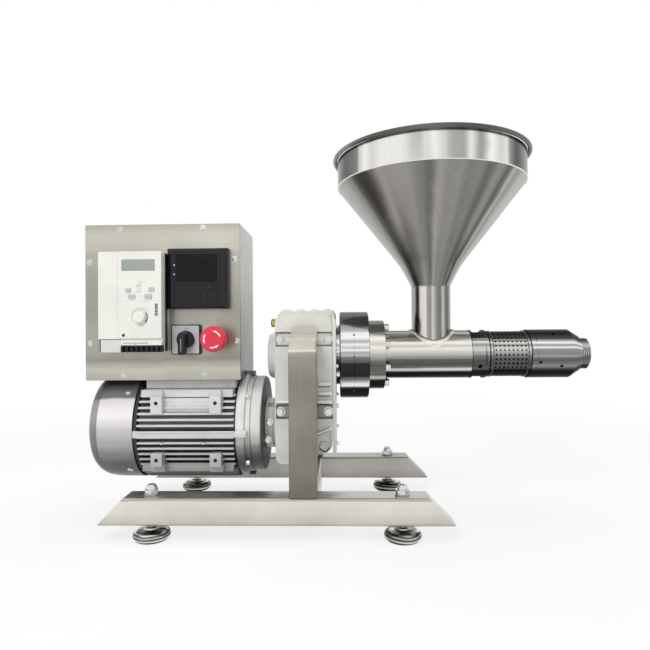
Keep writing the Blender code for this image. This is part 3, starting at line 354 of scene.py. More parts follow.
def around(pattern: Item, centre: Point, angles: Sequence[float], name: str) -> Item:
    """Copy a piece, modelled upright above the X axis, to angles about a line along X.

    Args:
        pattern: the piece, which is used up.
        centre: a point on the line.
        angles: one for each copy, in degrees.
        name: what the whole is called.

    Returns:
        The object with all the copies.
    """
    lift = Matrix.Translation((0.0, 0.0, centre[2]))
    return spread(pattern, [about(centre, "X", angle) @ lift for angle in angles], name)


def on_both_sides(spots: Sequence[tuple[float, float]], reach: float, turn: float = 0.0) -> list[Matrix]:
    """Places at spots of X and Z on the front and the back, a distance from the middle plane."""
    return [looking((x, side.value * reach, z), side.facing, turn) for side in Side for x, z in spots]


def finished(item: Item, edge: float = 0.0, segments: int = 2, angle: float = 32.0) -> Item:
    """Take the sharpness off an object's edges and smooth its round faces.

    Args:
        item: the object to finish.
        edge: width of the bevel, or 0 for none.
        segments: steps across it.
        angle: edges sharper than this, in degrees, are bevelled and stay crisp.

    Returns:
        The same object.
    """
    if edge > 0.0:
        change(item, "BEVEL", width=edge, segments=segments, limit_method="ANGLE", angle_limit=math.radians(angle),
            use_clamp_overlap=True, harden_normals=False)
    only(item)
    bpy.ops.object.shade_smooth_by_angle(angle=math.radians(angle + 6.0))
    return change(item, "WEIGHTED_NORMAL", keep_sharp=True, weight=50)


def soft_block(name: str, low: Point, high: Point, edge: float, segments: int = 2) -> Item:
    """A block with all its edges rounded."""
    return finished(block(name, low, high), edge, segments)


# Shader maths

class Signal:
    """A shader socket that can be used in sums."""

    def __init__(self, bench: "Bench", socket: bpy.types.NodeSocket) -> None:
        """Keep the socket with the tree that it belongs to."""
        self.bench = bench
        self.socket = socket

    def maths(self, operation: str, *others: "Signal | float", clamp: bool = False) -> "Signal":
        """A Math node on this value and others.

        Args:
            operation: the node's operation.
            others: the values after this one.
            clamp: whether the result stays between 0 and 1.

        Returns:
            The result.
        """
        values = dict(enumerate((self, *others)))
        return self.bench.add("ShaderNodeMath", {"operation": operation, "use_clamp": clamp}, values)

    def __add__(self, other: "Signal | float") -> "Signal":
        """This plus the other."""
        return self.maths("ADD", other)

    __radd__ = __add__

    def __sub__(self, other: "Signal | float") -> "Signal":
        """This less the other."""
        return self.maths("SUBTRACT", other)

    def __rsub__(self, other: float) -> "Signal":
        """The other less this."""
        return self.maths("MULTIPLY_ADD", -1.0, other)

    def __mul__(self, other: "Signal | float") -> "Signal":
        """This times the other."""
        return self.maths("MULTIPLY", other)

    __rmul__ = __mul__

    def __truediv__(self, other: "Signal | float") -> "Signal":
        """This over the other."""
        return self.maths("DIVIDE", other)

    def band(self, low: float, high: float) -> "Signal":
        """Rises from 0 at low to 1 at high, smoothly."""
        settings = {"interpolation_type": "SMOOTHSTEP"}
        return self.bench.add("ShaderNodeMapRange", settings, {0: self, 1: low, 2: high, 3: 0.0, 4: 1.0})

    def mix(self, first: object, second: object) -> "Signal":
        """The first colour where this is 0, and the second where it is 1."""
        return self.bench.add("ShaderNodeMix", {"data_type": "RGBA"}, {0: self, 6: first, 7: second}, 2)

    def ramp(self, stops: Sequence[tuple[float, float]], smooth: bool = True) -> "Signal":
        """A grey ramp.

        Args:
            stops: position and brightness of each stop.
            smooth: whether it eases from stop to stop.

        Returns:
            The ramp's colour.
        """
        settings = {"stops": stops, "interpolation": "EASE" if smooth else "LINEAR"}
        return self.bench.add("ShaderNodeValToRGB", settings, {0: self})


class Bench:
    """The nodes of one material or of the world."""

    def __init__(self, tree: bpy.types.NodeTree) -> None:
        """Start with an empty tree."""
        self.tree = tree
        tree.nodes.clear()

    def add(self, kind: str, settings: dict[str, object] | None = None, inputs: dict[object, object] | None = None,
            output: int = 0) -> Signal:
        """Add a node, set it and feed it.

        Args:
            kind: the node's type.
            settings: its settings, with a ramp's stops under "stops".
            inputs: a value or a Signal for each socket.
            output: which of its outputs is wanted.

        Returns:
            That output.
        """
        node = self.tree.nodes.new(kind)
        for key, value in (settings or {}).items():
            if key == "stops":
                self.set_stops(node.color_ramp, value)
            elif key == "interpolation" and kind == "ShaderNodeValToRGB":
                node.color_ramp.interpolation = value
            else:
                setattr(node, key, value)
        for key, value in (inputs or {}).items():
            if isinstance(value, Signal):
                self.tree.links.new(value.socket, node.inputs[key])
            else:
                node.inputs[key].default_value = value
        return Signal(self, node.outputs[output]) if node.outputs else Signal(self, None)

    @staticmethod
    def set_stops(ramp: bpy.types.ColorRamp, stops: Sequence[tuple[float, float]]) -> None:
        """Give a ramp its stops."""
        while len(ramp.elements) < len(stops):
            ramp.elements.new(1.0)
        for element, (position, light) in zip(ramp.elements, stops):
            element.position = position
            element.color = (light, light, light, 1.0)

    def place(self) -> Signal:
        """Where the surface point lies, in the part's metres."""
        return self.add("ShaderNodeTexCoord", output=3)

    def noise(self, scale: Point, detail: float = 3.0, warp: float = 0.0, rough: float = 0.5) -> Signal:
        """A cloud pattern whose size may differ along each axis.

        Args:
            scale: lumps in a metre along X, Y and Z.
            detail: how many finer layers it has.
            warp: how much it is distorted.
            rough: weight of the finer layers.

        Returns:
            A value about 0.5.
        """
        where = self.add("ShaderNodeMapping", {}, {0: self.place(), 3: scale})
        return self.add("ShaderNodeTexNoise", {}, {"Vector": where, "Scale": 1.0, "Detail": detail,
            "Roughness": rough, "Distortion": warp})

    def axes(self) -> list[Signal]:
        """The X, Y and Z of the surface point."""
        split = self.add("ShaderNodeSeparateXYZ", {}, {0: self.place()})
        return [Signal(self, socket) for socket in split.socket.node.outputs]

    def round_axis(self, axis: Axis, centre: Point) -> Signal:
        """How far round an axis a point lies, as a share of a turn.

        Args:
            axis: X, from the top by way of the operator's side, or Z, from the back by the left.
            centre: a point on the axis.

        Returns:
            0 to 1; the operator's side is 0.25 about X and 0.5 about Z.
        """
        x, y, z = self.axes()
        if axis is Axis.X:
            share = (centre[1] - y).maths("ARCTAN2", z - centre[2]) / math.tau
            return share.maths("FRACT")
        return (x - centre[0]).maths("ARCTAN2", centre[1] - y) / math.tau + 0.5

    def reach(self, centre: Point) -> Signal:
        """Distance from the line along X through a point."""
        _, y, z = self.axes()
        side, up = y - centre[1], z - centre[2]
        return (side * side + up * up).maths("SQRT")

    def surface(self, inputs: dict[object, object]) -> None:
        """Finish a material with one main shader."""
        shader = self.add("ShaderNodeBsdfPrincipled", {}, inputs)
        self.add("ShaderNodeOutputMaterial", {}, {0: shader})

    def bump(self, height: Signal, distance: float, strength: float = 1.0) -> Signal:
        """Small relief in the surface, of a real height in metres."""
        return self.add("ShaderNodeBump", {}, {"Strength": strength, "Distance": distance, "Height": height})


def colour(red: float, green: float, blue: float) -> tuple[float, float, float, float]:
    """A colour with full cover, from linear values."""
    return (red, green, blue, 1.0)


def fresh_material(name: str) -> tuple[bpy.types.Material, Bench]:
    """A new material with an empty bench for its nodes."""
    material = bpy.data.materials.new(name)
    material.use_nodes = True
    return material, Bench(material.node_tree)


def stops(*values: int) -> Stops:
    """A ramp's stops, from each one's position in thousandths and its tone in hundredths."""
    return tuple((values[n] / 1000, values[n + 1] / 100) for n in range(0, len(values), 2))


def even(tone: float) -> Stops:
    """Stops with the same tone all the way."""
    return ((0.0, tone), (1.0, tone))


@dataclass(frozen=True)
class Steel:
    """A stainless or tool steel finish, brushed one way, with painted reflections: bands of light and dark laid into
    its colour round an axis or up its height.
    """

    name: str
    light: Point = (0.8, 0.79, 0.76)
    roughness: float = 0.22
    brush: Point = (40.0, 900.0, 900.0)
    dark: Point = (0.006, 0.006, 0.007)
    brush_depth: float = 0.000006
    brush_shade: float = 0.1
    axis: Axis | None = None
    centre: Point = PRESS
    bands: Stops = even(0.85)
    along_z: tuple[float, float] = (0.0, 0.6)
    wander: float = 0.012
    cloudy: float = 0.06
    edge: float = 1.0
    slot: str = "polished_steel"

    def material(self) -> bpy.types.Material:
        """Make the material.

        Returns:
            The new material.
        """
        material, bench = fresh_material(self.name)
        brush = bench.noise(self.brush, 4.0, 0.0, 0.6)
        cloud = bench.noise((14.0, 14.0, 14.0), 2.0, 0.4)
        if self.axis is None:
            low, high = self.along_z
            where = (bench.axes()[2] - low) / (high - low)
        else:
            where = bench.round_axis(self.axis, self.centre)
        where = where + (cloud - 0.5) * self.wander
        # Painted reflection: the bands' light and dark, with the brushing's grain and faint clouds, become the base
        # colour.
        sheen = where.ramp(self.bands) + (brush - 0.5) * self.brush_shade
        sheen = sheen.maths("ADD", (cloud - 0.5) * self.cloudy, clamp=True).maths("POWER", TONE)
        tint = sheen.mix(colour(*self.dark), colour(*self.light))
        smear = bench.noise((6.0, 6.0, 6.0), 3.0, 1.2)
        rough = self.roughness + (brush - 0.5) * 0.16 + smear.band(0.45, 0.75) * 0.05
        bench.surface({"Base Color": tint, "Metallic": 1.0, "Roughness": rough.maths("MAXIMUM", 0.04),
            "Specular Tint": colour(self.edge, self.edge, self.edge), "Normal": bench.bump(brush, self.brush_depth)})
        return material


@dataclass(frozen=True)
class Paint:
    """Metallic paint on a casting, with the casting's fine skin under it; where given, painted shade darkens it in
    bands round the motor's axis and in towards that axis, deep between the fins.
    """

    name: str
    base: Point = (0.62, 0.62, 0.59)
    shade: Point = (0.5, 0.5, 0.47)
    roughness: float = 0.42
    metallic: float = 0.25
    skin: float = 700.0
    skin_depth: float = 0.00005
    coat: float = 0.15
    axis: Point = MOTOR
    bands: Stops = even(1.0)
    # Painted shade in towards the axis: the radii over which it fades out, and its darkest share.
    depth: tuple[float, float, float] = (-1.0, -0.5, 1.0)
    slot: str = "cast_paint"

    def material(self) -> bpy.types.Material:
        """Make the material.

        Returns:
            The new material.
        """
        material, bench = fresh_material(self.name)
        skin = bench.noise((self.skin,) * 3, 3.0, 0.2, 0.55)
        cloud = bench.noise((18.0, 18.0, 26.0), 4.0, 0.6)
        flake = bench.noise((5200.0,) * 3, 1.0)
        tone = (cloud.band(0.35, 0.7) * 0.55 + (skin - 0.4) * 0.6).maths("ADD", 0.0, clamp=True)
        tint = tone.mix(colour(*self.shade), colour(*self.base))
        tint = (flake.band(0.6, 0.72) * 0.25).mix(tint, colour(*[min(1.0, c * 1.35) for c in self.base]))
        # Painted shade: the bands round the axis and the darkening deep between the fins take the colour down towards
        # near black.
        low, high, deep = self.depth
        turn = bench.round_axis(Axis.X, self.axis) + (cloud - 0.5) * 0.01
        shadow = turn.ramp(self.bands) * (bench.reach(self.axis).band(low, high) * (1.0 - deep) + deep)
        tint = shadow.maths("POWER", TONE).mix(colour(0.006, 0.006, 0.007), tint)
        rough = self.roughness + (skin - 0.5) * 0.22 + (cloud - 0.5) * 0.1
        height = skin + bench.noise((90.0,) * 3, 2.0) * 2.0
        bench.surface({"Base Color": tint, "Metallic": self.metallic, "Roughness": rough, "Coat Weight": self.coat,
            "Coat Roughness": 0.25, "Normal": bench.bump(height, self.skin_depth)})
        return material


@dataclass(frozen=True)
class Plastic:
    """Moulded plastic with a fine spark grain."""

    name: str
    base: Point
    roughness: float = 0.45
    grain: float = 2200.0
    grain_depth: float = 0.00001
    mottle: float = 0.06
    coat: float = 0.0
    mirror: float = 0.5
    slot: str = "grey_plastic"

    def material(self) -> bpy.types.Material:
        """Make the material.

        Returns:
            The new material.
        """
        material, bench = fresh_material(self.name)
        grain = bench.noise((self.grain,) * 3, 2.0, 0.0, 0.6)
        cloud = bench.noise((30.0,) * 3, 3.0, 0.5)
        low = colour(*[c * (1.0 - self.mottle) for c in self.base])
        tint = cloud.band(0.3, 0.7).mix(low, colour(*self.base))
        rough = self.roughness + (grain - 0.5) * 0.18 + (cloud - 0.5) * 0.12
        bench.surface({"Base Color": tint, "Roughness": rough, "Coat Weight": self.coat,
            "Specular IOR Level": self.mirror, "Coat Roughness": 0.08, "Normal": bench.bump(grain, self.grain_depth)})
        return material


TONE = 2.2                  # from a tone as it is seen to the amount of light it stands for

# Painted reflections: stops of light and dark bands round the axis of each turned polished piece and of the hopper,
# laid into its colour.
PAINTED_REFLECTION_FLANGE = stops(0, 38, 60, 46, 95, 36, 125, 38, 132, 62, 155, 72, 165, 95, 182, 98, 198, 70, 208, 95, 220, 76,
    228, 97, 236, 66, 247, 73, 254, 44, 268, 38, 277, 17, 320, 16, 333, 50, 344, 94, 364, 100, 373, 30, 380, 8, 430,
    5, 500, 20, 620, 12, 700, 75, 780, 90, 860, 35, 930, 60, 1000, 30)
PAINTED_REFLECTION_RING = stops(0, 50, 50, 58, 95, 50, 118, 54, 130, 70, 150, 83, 170, 98, 195, 83, 212, 95, 230, 84, 248, 70,
    266, 57, 276, 42, 293, 35, 322, 40, 338, 52, 351, 82, 361, 76, 371, 24, 382, 7, 430, 12, 500, 28, 620, 20, 700,
    85, 800, 60, 900, 80, 1000, 40)
PAINTED_REFLECTION_BARREL = stops(0, 44, 48, 50, 68, 74, 87, 82, 110, 70, 147, 86, 170, 96, 190, 79, 206, 93, 233, 80, 247, 71,
    267, 57, 281, 37, 315, 33, 332, 45, 345, 86, 360, 80, 370, 24, 384, 6, 430, 10, 500, 20, 620, 30, 700, 90, 780,
    66, 880, 88, 1000, 36)
PAINTED_REFLECTION_HEAD = stops(0, 20, 75, 18, 88, 12, 122, 23, 141, 30, 157, 65, 172, 97, 191, 60, 204, 94, 220, 55, 250, 52,
    260, 63, 272, 45, 286, 36, 306, 43, 327, 54, 340, 42, 354, 22, 372, 8, 430, 14, 500, 16, 620, 25, 700, 90, 800,
    50, 900, 70, 1000, 20)
PAINTED_REFLECTION_CAGE = stops(0, 15, 80, 14, 100, 24, 128, 24, 140, 60, 150, 52, 163, 90, 185, 60, 200, 82, 220, 82, 232, 65,
    247, 64, 257, 46, 275, 40, 288, 32, 325, 30, 342, 36, 355, 24, 368, 8, 420, 11, 500, 12, 640, 40, 720, 85, 840,
    50, 1000, 15)
PAINTED_REFLECTION_SPOUT = stops(0, 60, 120, 85, 220, 55, 270, 58, 314, 64, 335, 50, 347, 34, 360, 36, 372, 62, 384, 85, 432, 88,
    446, 62, 466, 56, 478, 66, 487, 82, 504, 67, 529, 49, 553, 46, 566, 67, 576, 76, 598, 53, 616, 39, 656, 54, 700,
    60, 800, 45, 900, 80, 1000, 60)
PAINTED_REFLECTION_BAND = stops(0, 70, 120, 85, 200, 55, 255, 46, 310, 30, 336, 43, 350, 50, 357, 83, 370, 95, 383, 84, 400, 93,
    431, 93, 457, 72, 468, 86, 482, 95, 492, 86, 508, 67, 523, 66, 534, 91, 550, 63, 568, 97, 586, 84, 600, 90, 608,
    55, 627, 28, 654, 36, 683, 25, 740, 45, 840, 85, 920, 60, 1000, 70)
PAINTED_REFLECTION_CONE = stops(0, 66, 120, 50, 220, 68, 300, 66, 323, 58, 342, 38, 355, 35, 366, 44, 380, 62, 390, 70, 405, 60,
    436, 59, 455, 51, 471, 43, 488, 61, 506, 54, 524, 55, 537, 49, 556, 51, 571, 41, 591, 56, 600, 52, 607, 37, 616,
    45, 626, 70, 636, 57, 662, 69, 740, 60, 820, 42, 900, 62, 1000, 66)
PAINTED_REFLECTION_RIM = stops(0, 45, 250, 40, 330, 52, 400, 36, 470, 42, 540, 34, 600, 40, 680, 34, 750, 50, 1000, 45)
# Painted sheen: lighter and darker bands up the control box panel's height.
SHEEN_PANEL = stops(0, 71, 34, 74, 72, 78, 100, 71, 135, 60, 165, 64, 210, 67, 300, 68, 450, 65, 600, 67, 800, 71,
    860, 77, 930, 79, 1000, 72)
# Painted shade round the motor's axis: darker underneath on the body, drive shield and cowl, and darker along the top
# of the shield and of the cowl, which sits under the control box.
SHADE_MOTOR = stops(0, 90, 100, 92, 160, 100, 270, 96, 340, 84, 400, 62, 440, 36, 540, 30, 620, 60, 720, 90, 860, 100,
    1000, 90)
SHADE_SHIELD = stops(0, 50, 80, 80, 140, 95, 240, 100, 280, 86, 310, 62, 345, 34, 370, 16, 500, 12, 600, 40, 720, 85,
    860, 100, 1000, 50)
SHADE_COWL = stops(0, 30, 100, 34, 149, 44, 156, 90, 190, 98, 206, 100, 225, 93, 250, 81, 285, 70, 325, 52, 360, 33,
    400, 18, 470, 12, 530, 20, 620, 60, 740, 92, 850, 95, 870, 45, 1000, 30)


class Finishes:
    """Every finish of the machine, made once."""

    def __init__(self) -> None:
        """Make the materials."""
        warm, cool = (0.97, 0.945, 0.87), (0.97, 0.97, 0.98)
        sheet = (0.95, 0.925, 0.8)
        # Each steel's bands are painted light: reflections round the turned pieces and the hopper, and light and
        # shade up the height of the rails, post, panel, box shell and feet; the even ones are plain tones.
        steels = [
            Steel("flange_polish", cool, 0.14, (30.0, 1500.0, 1500.0), axis=Axis.X, bands=PAINTED_REFLECTION_FLANGE,
                brush_shade=0.05, wander=0.006, edge=0.6),
            Steel("ring_polish", warm, 0.2, axis=Axis.X, bands=PAINTED_REFLECTION_RING, wander=0.006, edge=0.6,
                slot="brushed_steel"),
            Steel("barrel_polish", warm, 0.16, (20.0, 1100.0, 1100.0), axis=Axis.X, bands=PAINTED_REFLECTION_BARREL,
                brush_shade=0.07, wander=0.006, edge=0.6, slot="brushed_steel"),
            Steel("head_polish", cool, 0.12, (30.0, 1400.0, 1400.0), axis=Axis.X, bands=PAINTED_REFLECTION_HEAD, brush_shade=0.05,
                wander=0.006, edge=0.6),
            Steel("cage_polish", (0.96, 0.96, 0.92), 0.18, axis=Axis.X, bands=PAINTED_REFLECTION_CAGE, wander=0.006, edge=0.6),
            Steel("spout_polish", warm, 0.18, (1100.0, 1100.0, 20.0), axis=Axis.Z, centre=HOPPER, bands=PAINTED_REFLECTION_SPOUT,
                brush_shade=0.07, wander=0.006, slot="brushed_steel"),
            Steel("band_polish", (0.97, 0.95, 0.9), 0.2, (500.0, 500.0, 30.0), axis=Axis.Z, centre=HOPPER,
                bands=PAINTED_REFLECTION_BAND, brush_shade=0.07, wander=0.008),
            Steel("rim_polish", (0.97, 0.95, 0.9), 0.2, (500.0, 500.0, 30.0), axis=Axis.Z, centre=HOPPER,
                bands=PAINTED_REFLECTION_RIM, brush_shade=0.07),
            Steel("cone_brushed", (0.97, 0.935, 0.875), 0.3, (420.0, 420.0, 26.0), axis=Axis.Z, centre=HOPPER,
                bands=PAINTED_REFLECTION_CONE, brush_shade=0.12, cloudy=0.08),
            Steel("lining_steel", (0.97, 0.95, 0.91), 0.34, (420.0, 420.0, 26.0), axis=Axis.Z, centre=HOPPER,
                brush_shade=0.1, cloudy=0.08, bands=stops(0, 94, 200, 84, 350, 95, 500, 86, 700, 95, 850, 86, 1000,
                94)),
            Steel("panel_brushed", sheet, 0.34, (24.0, 900.0, 1300.0), bands=SHEEN_PANEL, along_z=(0.228, 0.478),
                wander=0.06, cloudy=0.1, slot="brushed_steel"),
            Steel("tube_brushed", (0.97, 0.94, 0.86), 0.36, (26.0, 1200.0, 1200.0), bands=stops(0, 70, 200, 80, 550,
                86, 880, 88, 940, 70, 1000, 78), along_z=(0.025, 0.065), brush_shade=0.12, wander=0.1, cloudy=0.12,
                slot="brushed_steel"),
            # A darker copy of the rail steel for the rear rail: painted shade.
            Steel("tube_shaded", (0.97, 0.94, 0.86), 0.36, (26.0, 1200.0, 1200.0),
                bands=stops(0, 60, 500, 70, 880, 72, 940, 60, 1000, 66), along_z=(0.025, 0.065), brush_shade=0.12,
                wander=0.1, cloudy=0.12, slot="brushed_steel"),
            Steel("post_brushed", (0.96, 0.92, 0.8), 0.36, (1100.0, 1100.0, 24.0), bands=stops(0, 46, 200, 52, 450,
                56, 620, 55, 760, 60, 795, 66, 801, 92, 815, 84, 855, 82, 862, 94, 872, 84, 900, 80, 1000, 84),
                along_z=(0.06, 0.33), brush_shade=0.12, wander=0.01, cloudy=0.12, slot="brushed_steel"),
            Steel("bright_steel", (0.95, 0.95, 0.94), 0.16, (600.0, 600.0, 600.0), bands=even(0.86)),
            Steel("dark_steel", (0.95, 0.95, 0.94), 0.35, (500.0, 500.0, 500.0), bands=even(0.35)),
            Steel("machined_steel", (0.95, 0.94, 0.92), 0.3, (1500.0, 500.0, 500.0), bands=even(0.72)),
            Steel("screw_steel", (0.96, 0.95, 0.92), 0.24, (60.0, 900.0, 900.0), bands=even(0.82)),
            Steel("brass", (0.9, 0.72, 0.26), 0.26, (900.0, 500.0, 500.0), (0.03, 0.02, 0.005), bands=even(0.86),
                slot="brass"),
            Steel("weld_bead", (0.97, 0.96, 0.9), 0.36, (300.0, 300.0, 300.0), brush_depth=0.00015, bands=even(0.94),
                brush_shade=0.14, slot="brushed_steel"),
            Steel("foot_polish", (0.97, 0.95, 0.92), 0.14, (900.0, 900.0, 900.0), bands=stops(0, 12, 120, 20, 220, 85,
                340, 25, 440, 70, 500, 20, 580, 92, 640, 35, 720, 80, 1000, 50), along_z=(0.0, 0.024),
                brush_shade=0.06, wander=0.5, cloudy=0.9),
            Steel("nozzle_steel", (0.96, 0.93, 0.9), 0.24, (60.0, 900.0, 900.0), axis=Axis.X, bands=stops(0, 20, 90,
                34, 170, 74, 200, 52, 240, 66, 300, 36, 350, 44, 400, 16, 500, 16, 700, 75, 1000, 30)),
            Steel("shell_brushed", (0.95, 0.94, 0.88), 0.34, (900.0, 900.0, 24.0),
                bands=stops(0, 50, 400, 58, 800, 70, 1000, 72), along_z=(0.228, 0.478), slot="brushed_steel"),]
        paints = [
            Paint("gearbox_paint", (0.78, 0.78, 0.735), (0.66, 0.655, 0.61), 0.46, 0.2, 620.0),
            # Dark paint for the painted shadow strips under the ribs.
            Paint("pocket_paint", (0.36, 0.36, 0.31), (0.28, 0.28, 0.24), 0.55, 0.2, 620.0),
            # A lighter copy of the casting's paint: painted highlight on the ribs.
            Paint("rib_paint", (0.93, 0.93, 0.89), (0.84, 0.84, 0.79), 0.4, 0.2, 620.0),
            # A lighter copy of the casting's paint for the adapter's neck: painted light.
            Paint("neck_paint", (0.86, 0.86, 0.83), (0.74, 0.74, 0.71), 0.4, 0.2, 620.0),
            # The motor's paint, with painted shade round its axis and darkening deep between the fins.
            Paint("motor_paint", (0.76, 0.77, 0.755), (0.63, 0.64, 0.625), 0.4, 0.2, 800.0, bands=SHADE_MOTOR,
                depth=(0.076, 0.0845, 0.5), slot="motor_paint"),
            # A lighter copy of the motor's paint with painted shade bands, for the drive shield and the adapter disc.
            Paint("shield_paint", (0.84, 0.85, 0.82), (0.72, 0.73, 0.71), 0.38, 0.2, 800.0, bands=SHADE_SHIELD),
            # The cowl's paint with painted shade bands, darker at its top and underneath.
            Paint("cowl_paint", (0.9, 0.87, 0.9), (0.82, 0.79, 0.82), 0.34, 0.2, 1100.0, 0.00002, 0.2,
                bands=SHADE_COWL, slot="motor_paint"),
            # A darker copy of the cowl's paint for its rounded end, with the same painted shade bands.
            Paint("cowl_end_paint", (0.42, 0.4, 0.39), (0.3, 0.29, 0.28), 0.4, 0.2, 1100.0, 0.00002, 0.1,
                bands=SHADE_COWL, slot="motor_paint"),
            # Near black: painted shadow in the plugs' crescents, on the adapter's flank and on the shield behind the
            # fan.
            Paint("recess_paint", (0.045, 0.045, 0.043), (0.03, 0.03, 0.029), 0.55, 0.1),]
        plastics = [
            Plastic("drive_plastic", (0.8, 0.8, 0.75), 0.42, slot="drive_plastic"),
            Plastic("strip_plastic", (0.66, 0.66, 0.63), 0.48, slot="drive_plastic"),
            Plastic("key_plastic", (0.54, 0.55, 0.56), 0.45),
            Plastic("mark_grey", (0.2, 0.21, 0.21), 0.5),
            Plastic("black_plastic", (0.01, 0.01, 0.012), 0.34, mirror=0.35, slot="black_plastic"),
            Plastic("bezel_plastic", (0.01, 0.01, 0.014), 0.34, mirror=0.3, slot="black_plastic"),
            Plastic("window_gloss", (0.004, 0.004, 0.006), 0.14, grain_depth=0.000002, mirror=0.35,
                slot="black_plastic"),
            Plastic("plate_grey", (0.5, 0.51, 0.52), 0.4),
            Plastic("red_plastic", (0.7, 0.018, 0.055), 0.3, coat=0.25, slot="red_plastic"),
            Plastic("collar_red", (0.42, 0.02, 0.04), 0.36, slot="black_plastic"),
            Plastic("white_mark", (0.86, 0.86, 0.84), 0.45),
            Plastic("display_glass", (0.3, 0.34, 0.32), 0.16, coat=0.5),
            # Grey for the strip of painted shadow along the display's top.
            Plastic("display_frame", (0.42, 0.43, 0.42), 0.35),
            Plastic("rubber", (0.02, 0.02, 0.02), 0.7, 900.0, 0.00006, slot="black_plastic"),
            Plastic("terminal_green", (0.25, 0.48, 0.06), 0.45),
            Plastic("display_dark", (0.002, 0.002, 0.003), 0.12, grain_depth=0.000001, mirror=0.2,
                slot="black_plastic"),
            Plastic("key_black", (0.012, 0.012, 0.014), 0.42, mirror=0.4, slot="black_plastic"),
            Plastic("fan_plastic", (0.02, 0.02, 0.02), 0.5, slot="black_plastic"),]
        finishes = (*steels, *paints, *plastics)
        self.made = {finish.name: finish.material() for finish in finishes}
        self.slots = {finish.name: finish.slot for finish in finishes}

    def __getitem__(self, name: str) -> bpy.types.Material:
        """The material of that name."""
        return self.made[name]


@dataclass
class Assembly:
    """What every sub-assembly shares: the finishes, and the way a piece is handed over."""

    finishes: Finishes

    def hand_over(self, item: Item, finish: str, *nodes: str, body: str = "machine", slot: str = "") -> Item:
        """Give a piece its finish and body, and hide the nodes it stands for.

        Args:
            item: the finished piece.
            finish: name of its finish.
            nodes: the nodes that it replaces.
            body: the body it rides on.
            slot: the record's material slot, if not the finish's own; not used.

        Returns:
            The same piece.
        """
        item.data.materials.clear()
        item.data.materials.append(self.finishes[finish])
        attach(item, body)
        if nodes:
            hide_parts(*nodes)
        log.info("%s: %d faces on %s", item.name, len(item.data.polygons), body)
        return item


    def fasten(self, pattern: Item, places: Sequence[Matrix], name: str, finish: str = "bright_steel") -> None:
        """Put copies of a fastener at their places."""
        self.hand_over(spread(pattern, places, name), finish)


class Fasteners:
    """Patterns for the screws and bolts, each modelled once, head up at the world's origin."""

    @staticmethod
    def hexagon(name: str, across: float, low: float, high: float, chamfer: float) -> Item:
        """A hexagon whose corners are turned off at the top.

        Args:
            name: what the object is called.
            across: distance between two flats.
            low: height of its underside.
            high: height of its top.
            chamfer: how far down its corners are turned off.

        Returns:
            The new object.
        """
        corner = across / 2.0 / math.cos(math.pi / 6.0)
        prism = rod(name, corner, Axis.Z, ORIGIN, low, high, sides=6)
        lens = turned("lens", [(0.0, low - 0.001), (corner * 1.1, low - 0.001), (corner * 1.1, high - chamfer * 1.2),
            (across / 2.0 * 0.94, high), (0.0, high)], Axis.Z, ORIGIN, 48)
        return combine(prism, lens, "INTERSECT")

    @staticmethod
    def hex_bolt(across: float = 0.01) -> Item:
        """A hexagon bolt head on a spring washer and a flat washer."""
        size = across
        head = Fasteners.hexagon("bolt_head", size, size * 0.18, size * 0.78, size * 0.1)
        washer = turned("washer", [(0.0, 0.0), (size * 0.72, 0.0), (size * 0.75, size * 0.03),
            (size * 0.75, size * 0.09), (size * 0.58, size * 0.1), (size * 0.58, size * 0.19), (0.0, size * 0.19)],
            Axis.Z, ORIGIN, 36)
        return finished(joined("bolt", [head, washer]), size * 0.02, 1)

    @staticmethod
    def cap_screw(radius: float = 0.006, height: float = 0.008) -> Item:
        """A socket cap screw with a rounded rim."""
        head = turned("cap", [(0.0, -0.001), (radius, -0.001), (radius, height - radius * 0.22),
            (radius * 0.93, height - radius * 0.07), (radius * 0.8, height), (0.0, height)], Axis.Z, ORIGIN, 40)
        socket = rod("socket", radius * 0.55, Axis.Z, ORIGIN, height * 0.45, height * 1.2, sides=6)
        return finished(cut(head, socket), radius * 0.05, 2)

    @staticmethod
    def cross_screw(radius: float = 0.0045) -> Item:
        """A pan-head screw with a cross recess, on a thin washer."""
        head = turned("pan", [(0.0, 0.0), (radius * 1.25, 0.0), (radius * 1.25, radius * 0.12),
            (radius, radius * 0.13), (radius * 0.98, radius * 0.32), (radius * 0.8, radius * 0.52),
            (radius * 0.45, radius * 0.64), (0.0, radius * 0.67)], Axis.Z, ORIGIN, 32)
        for size in ((0.16, 0.58), (0.58, 0.16)):
            half_x, half_y = (radius * value for value in size)
            cut(head, block("slot", (-half_x, -half_y, radius * 0.3), (half_x, half_y, radius)))
        return finished(head, angle=40.0)


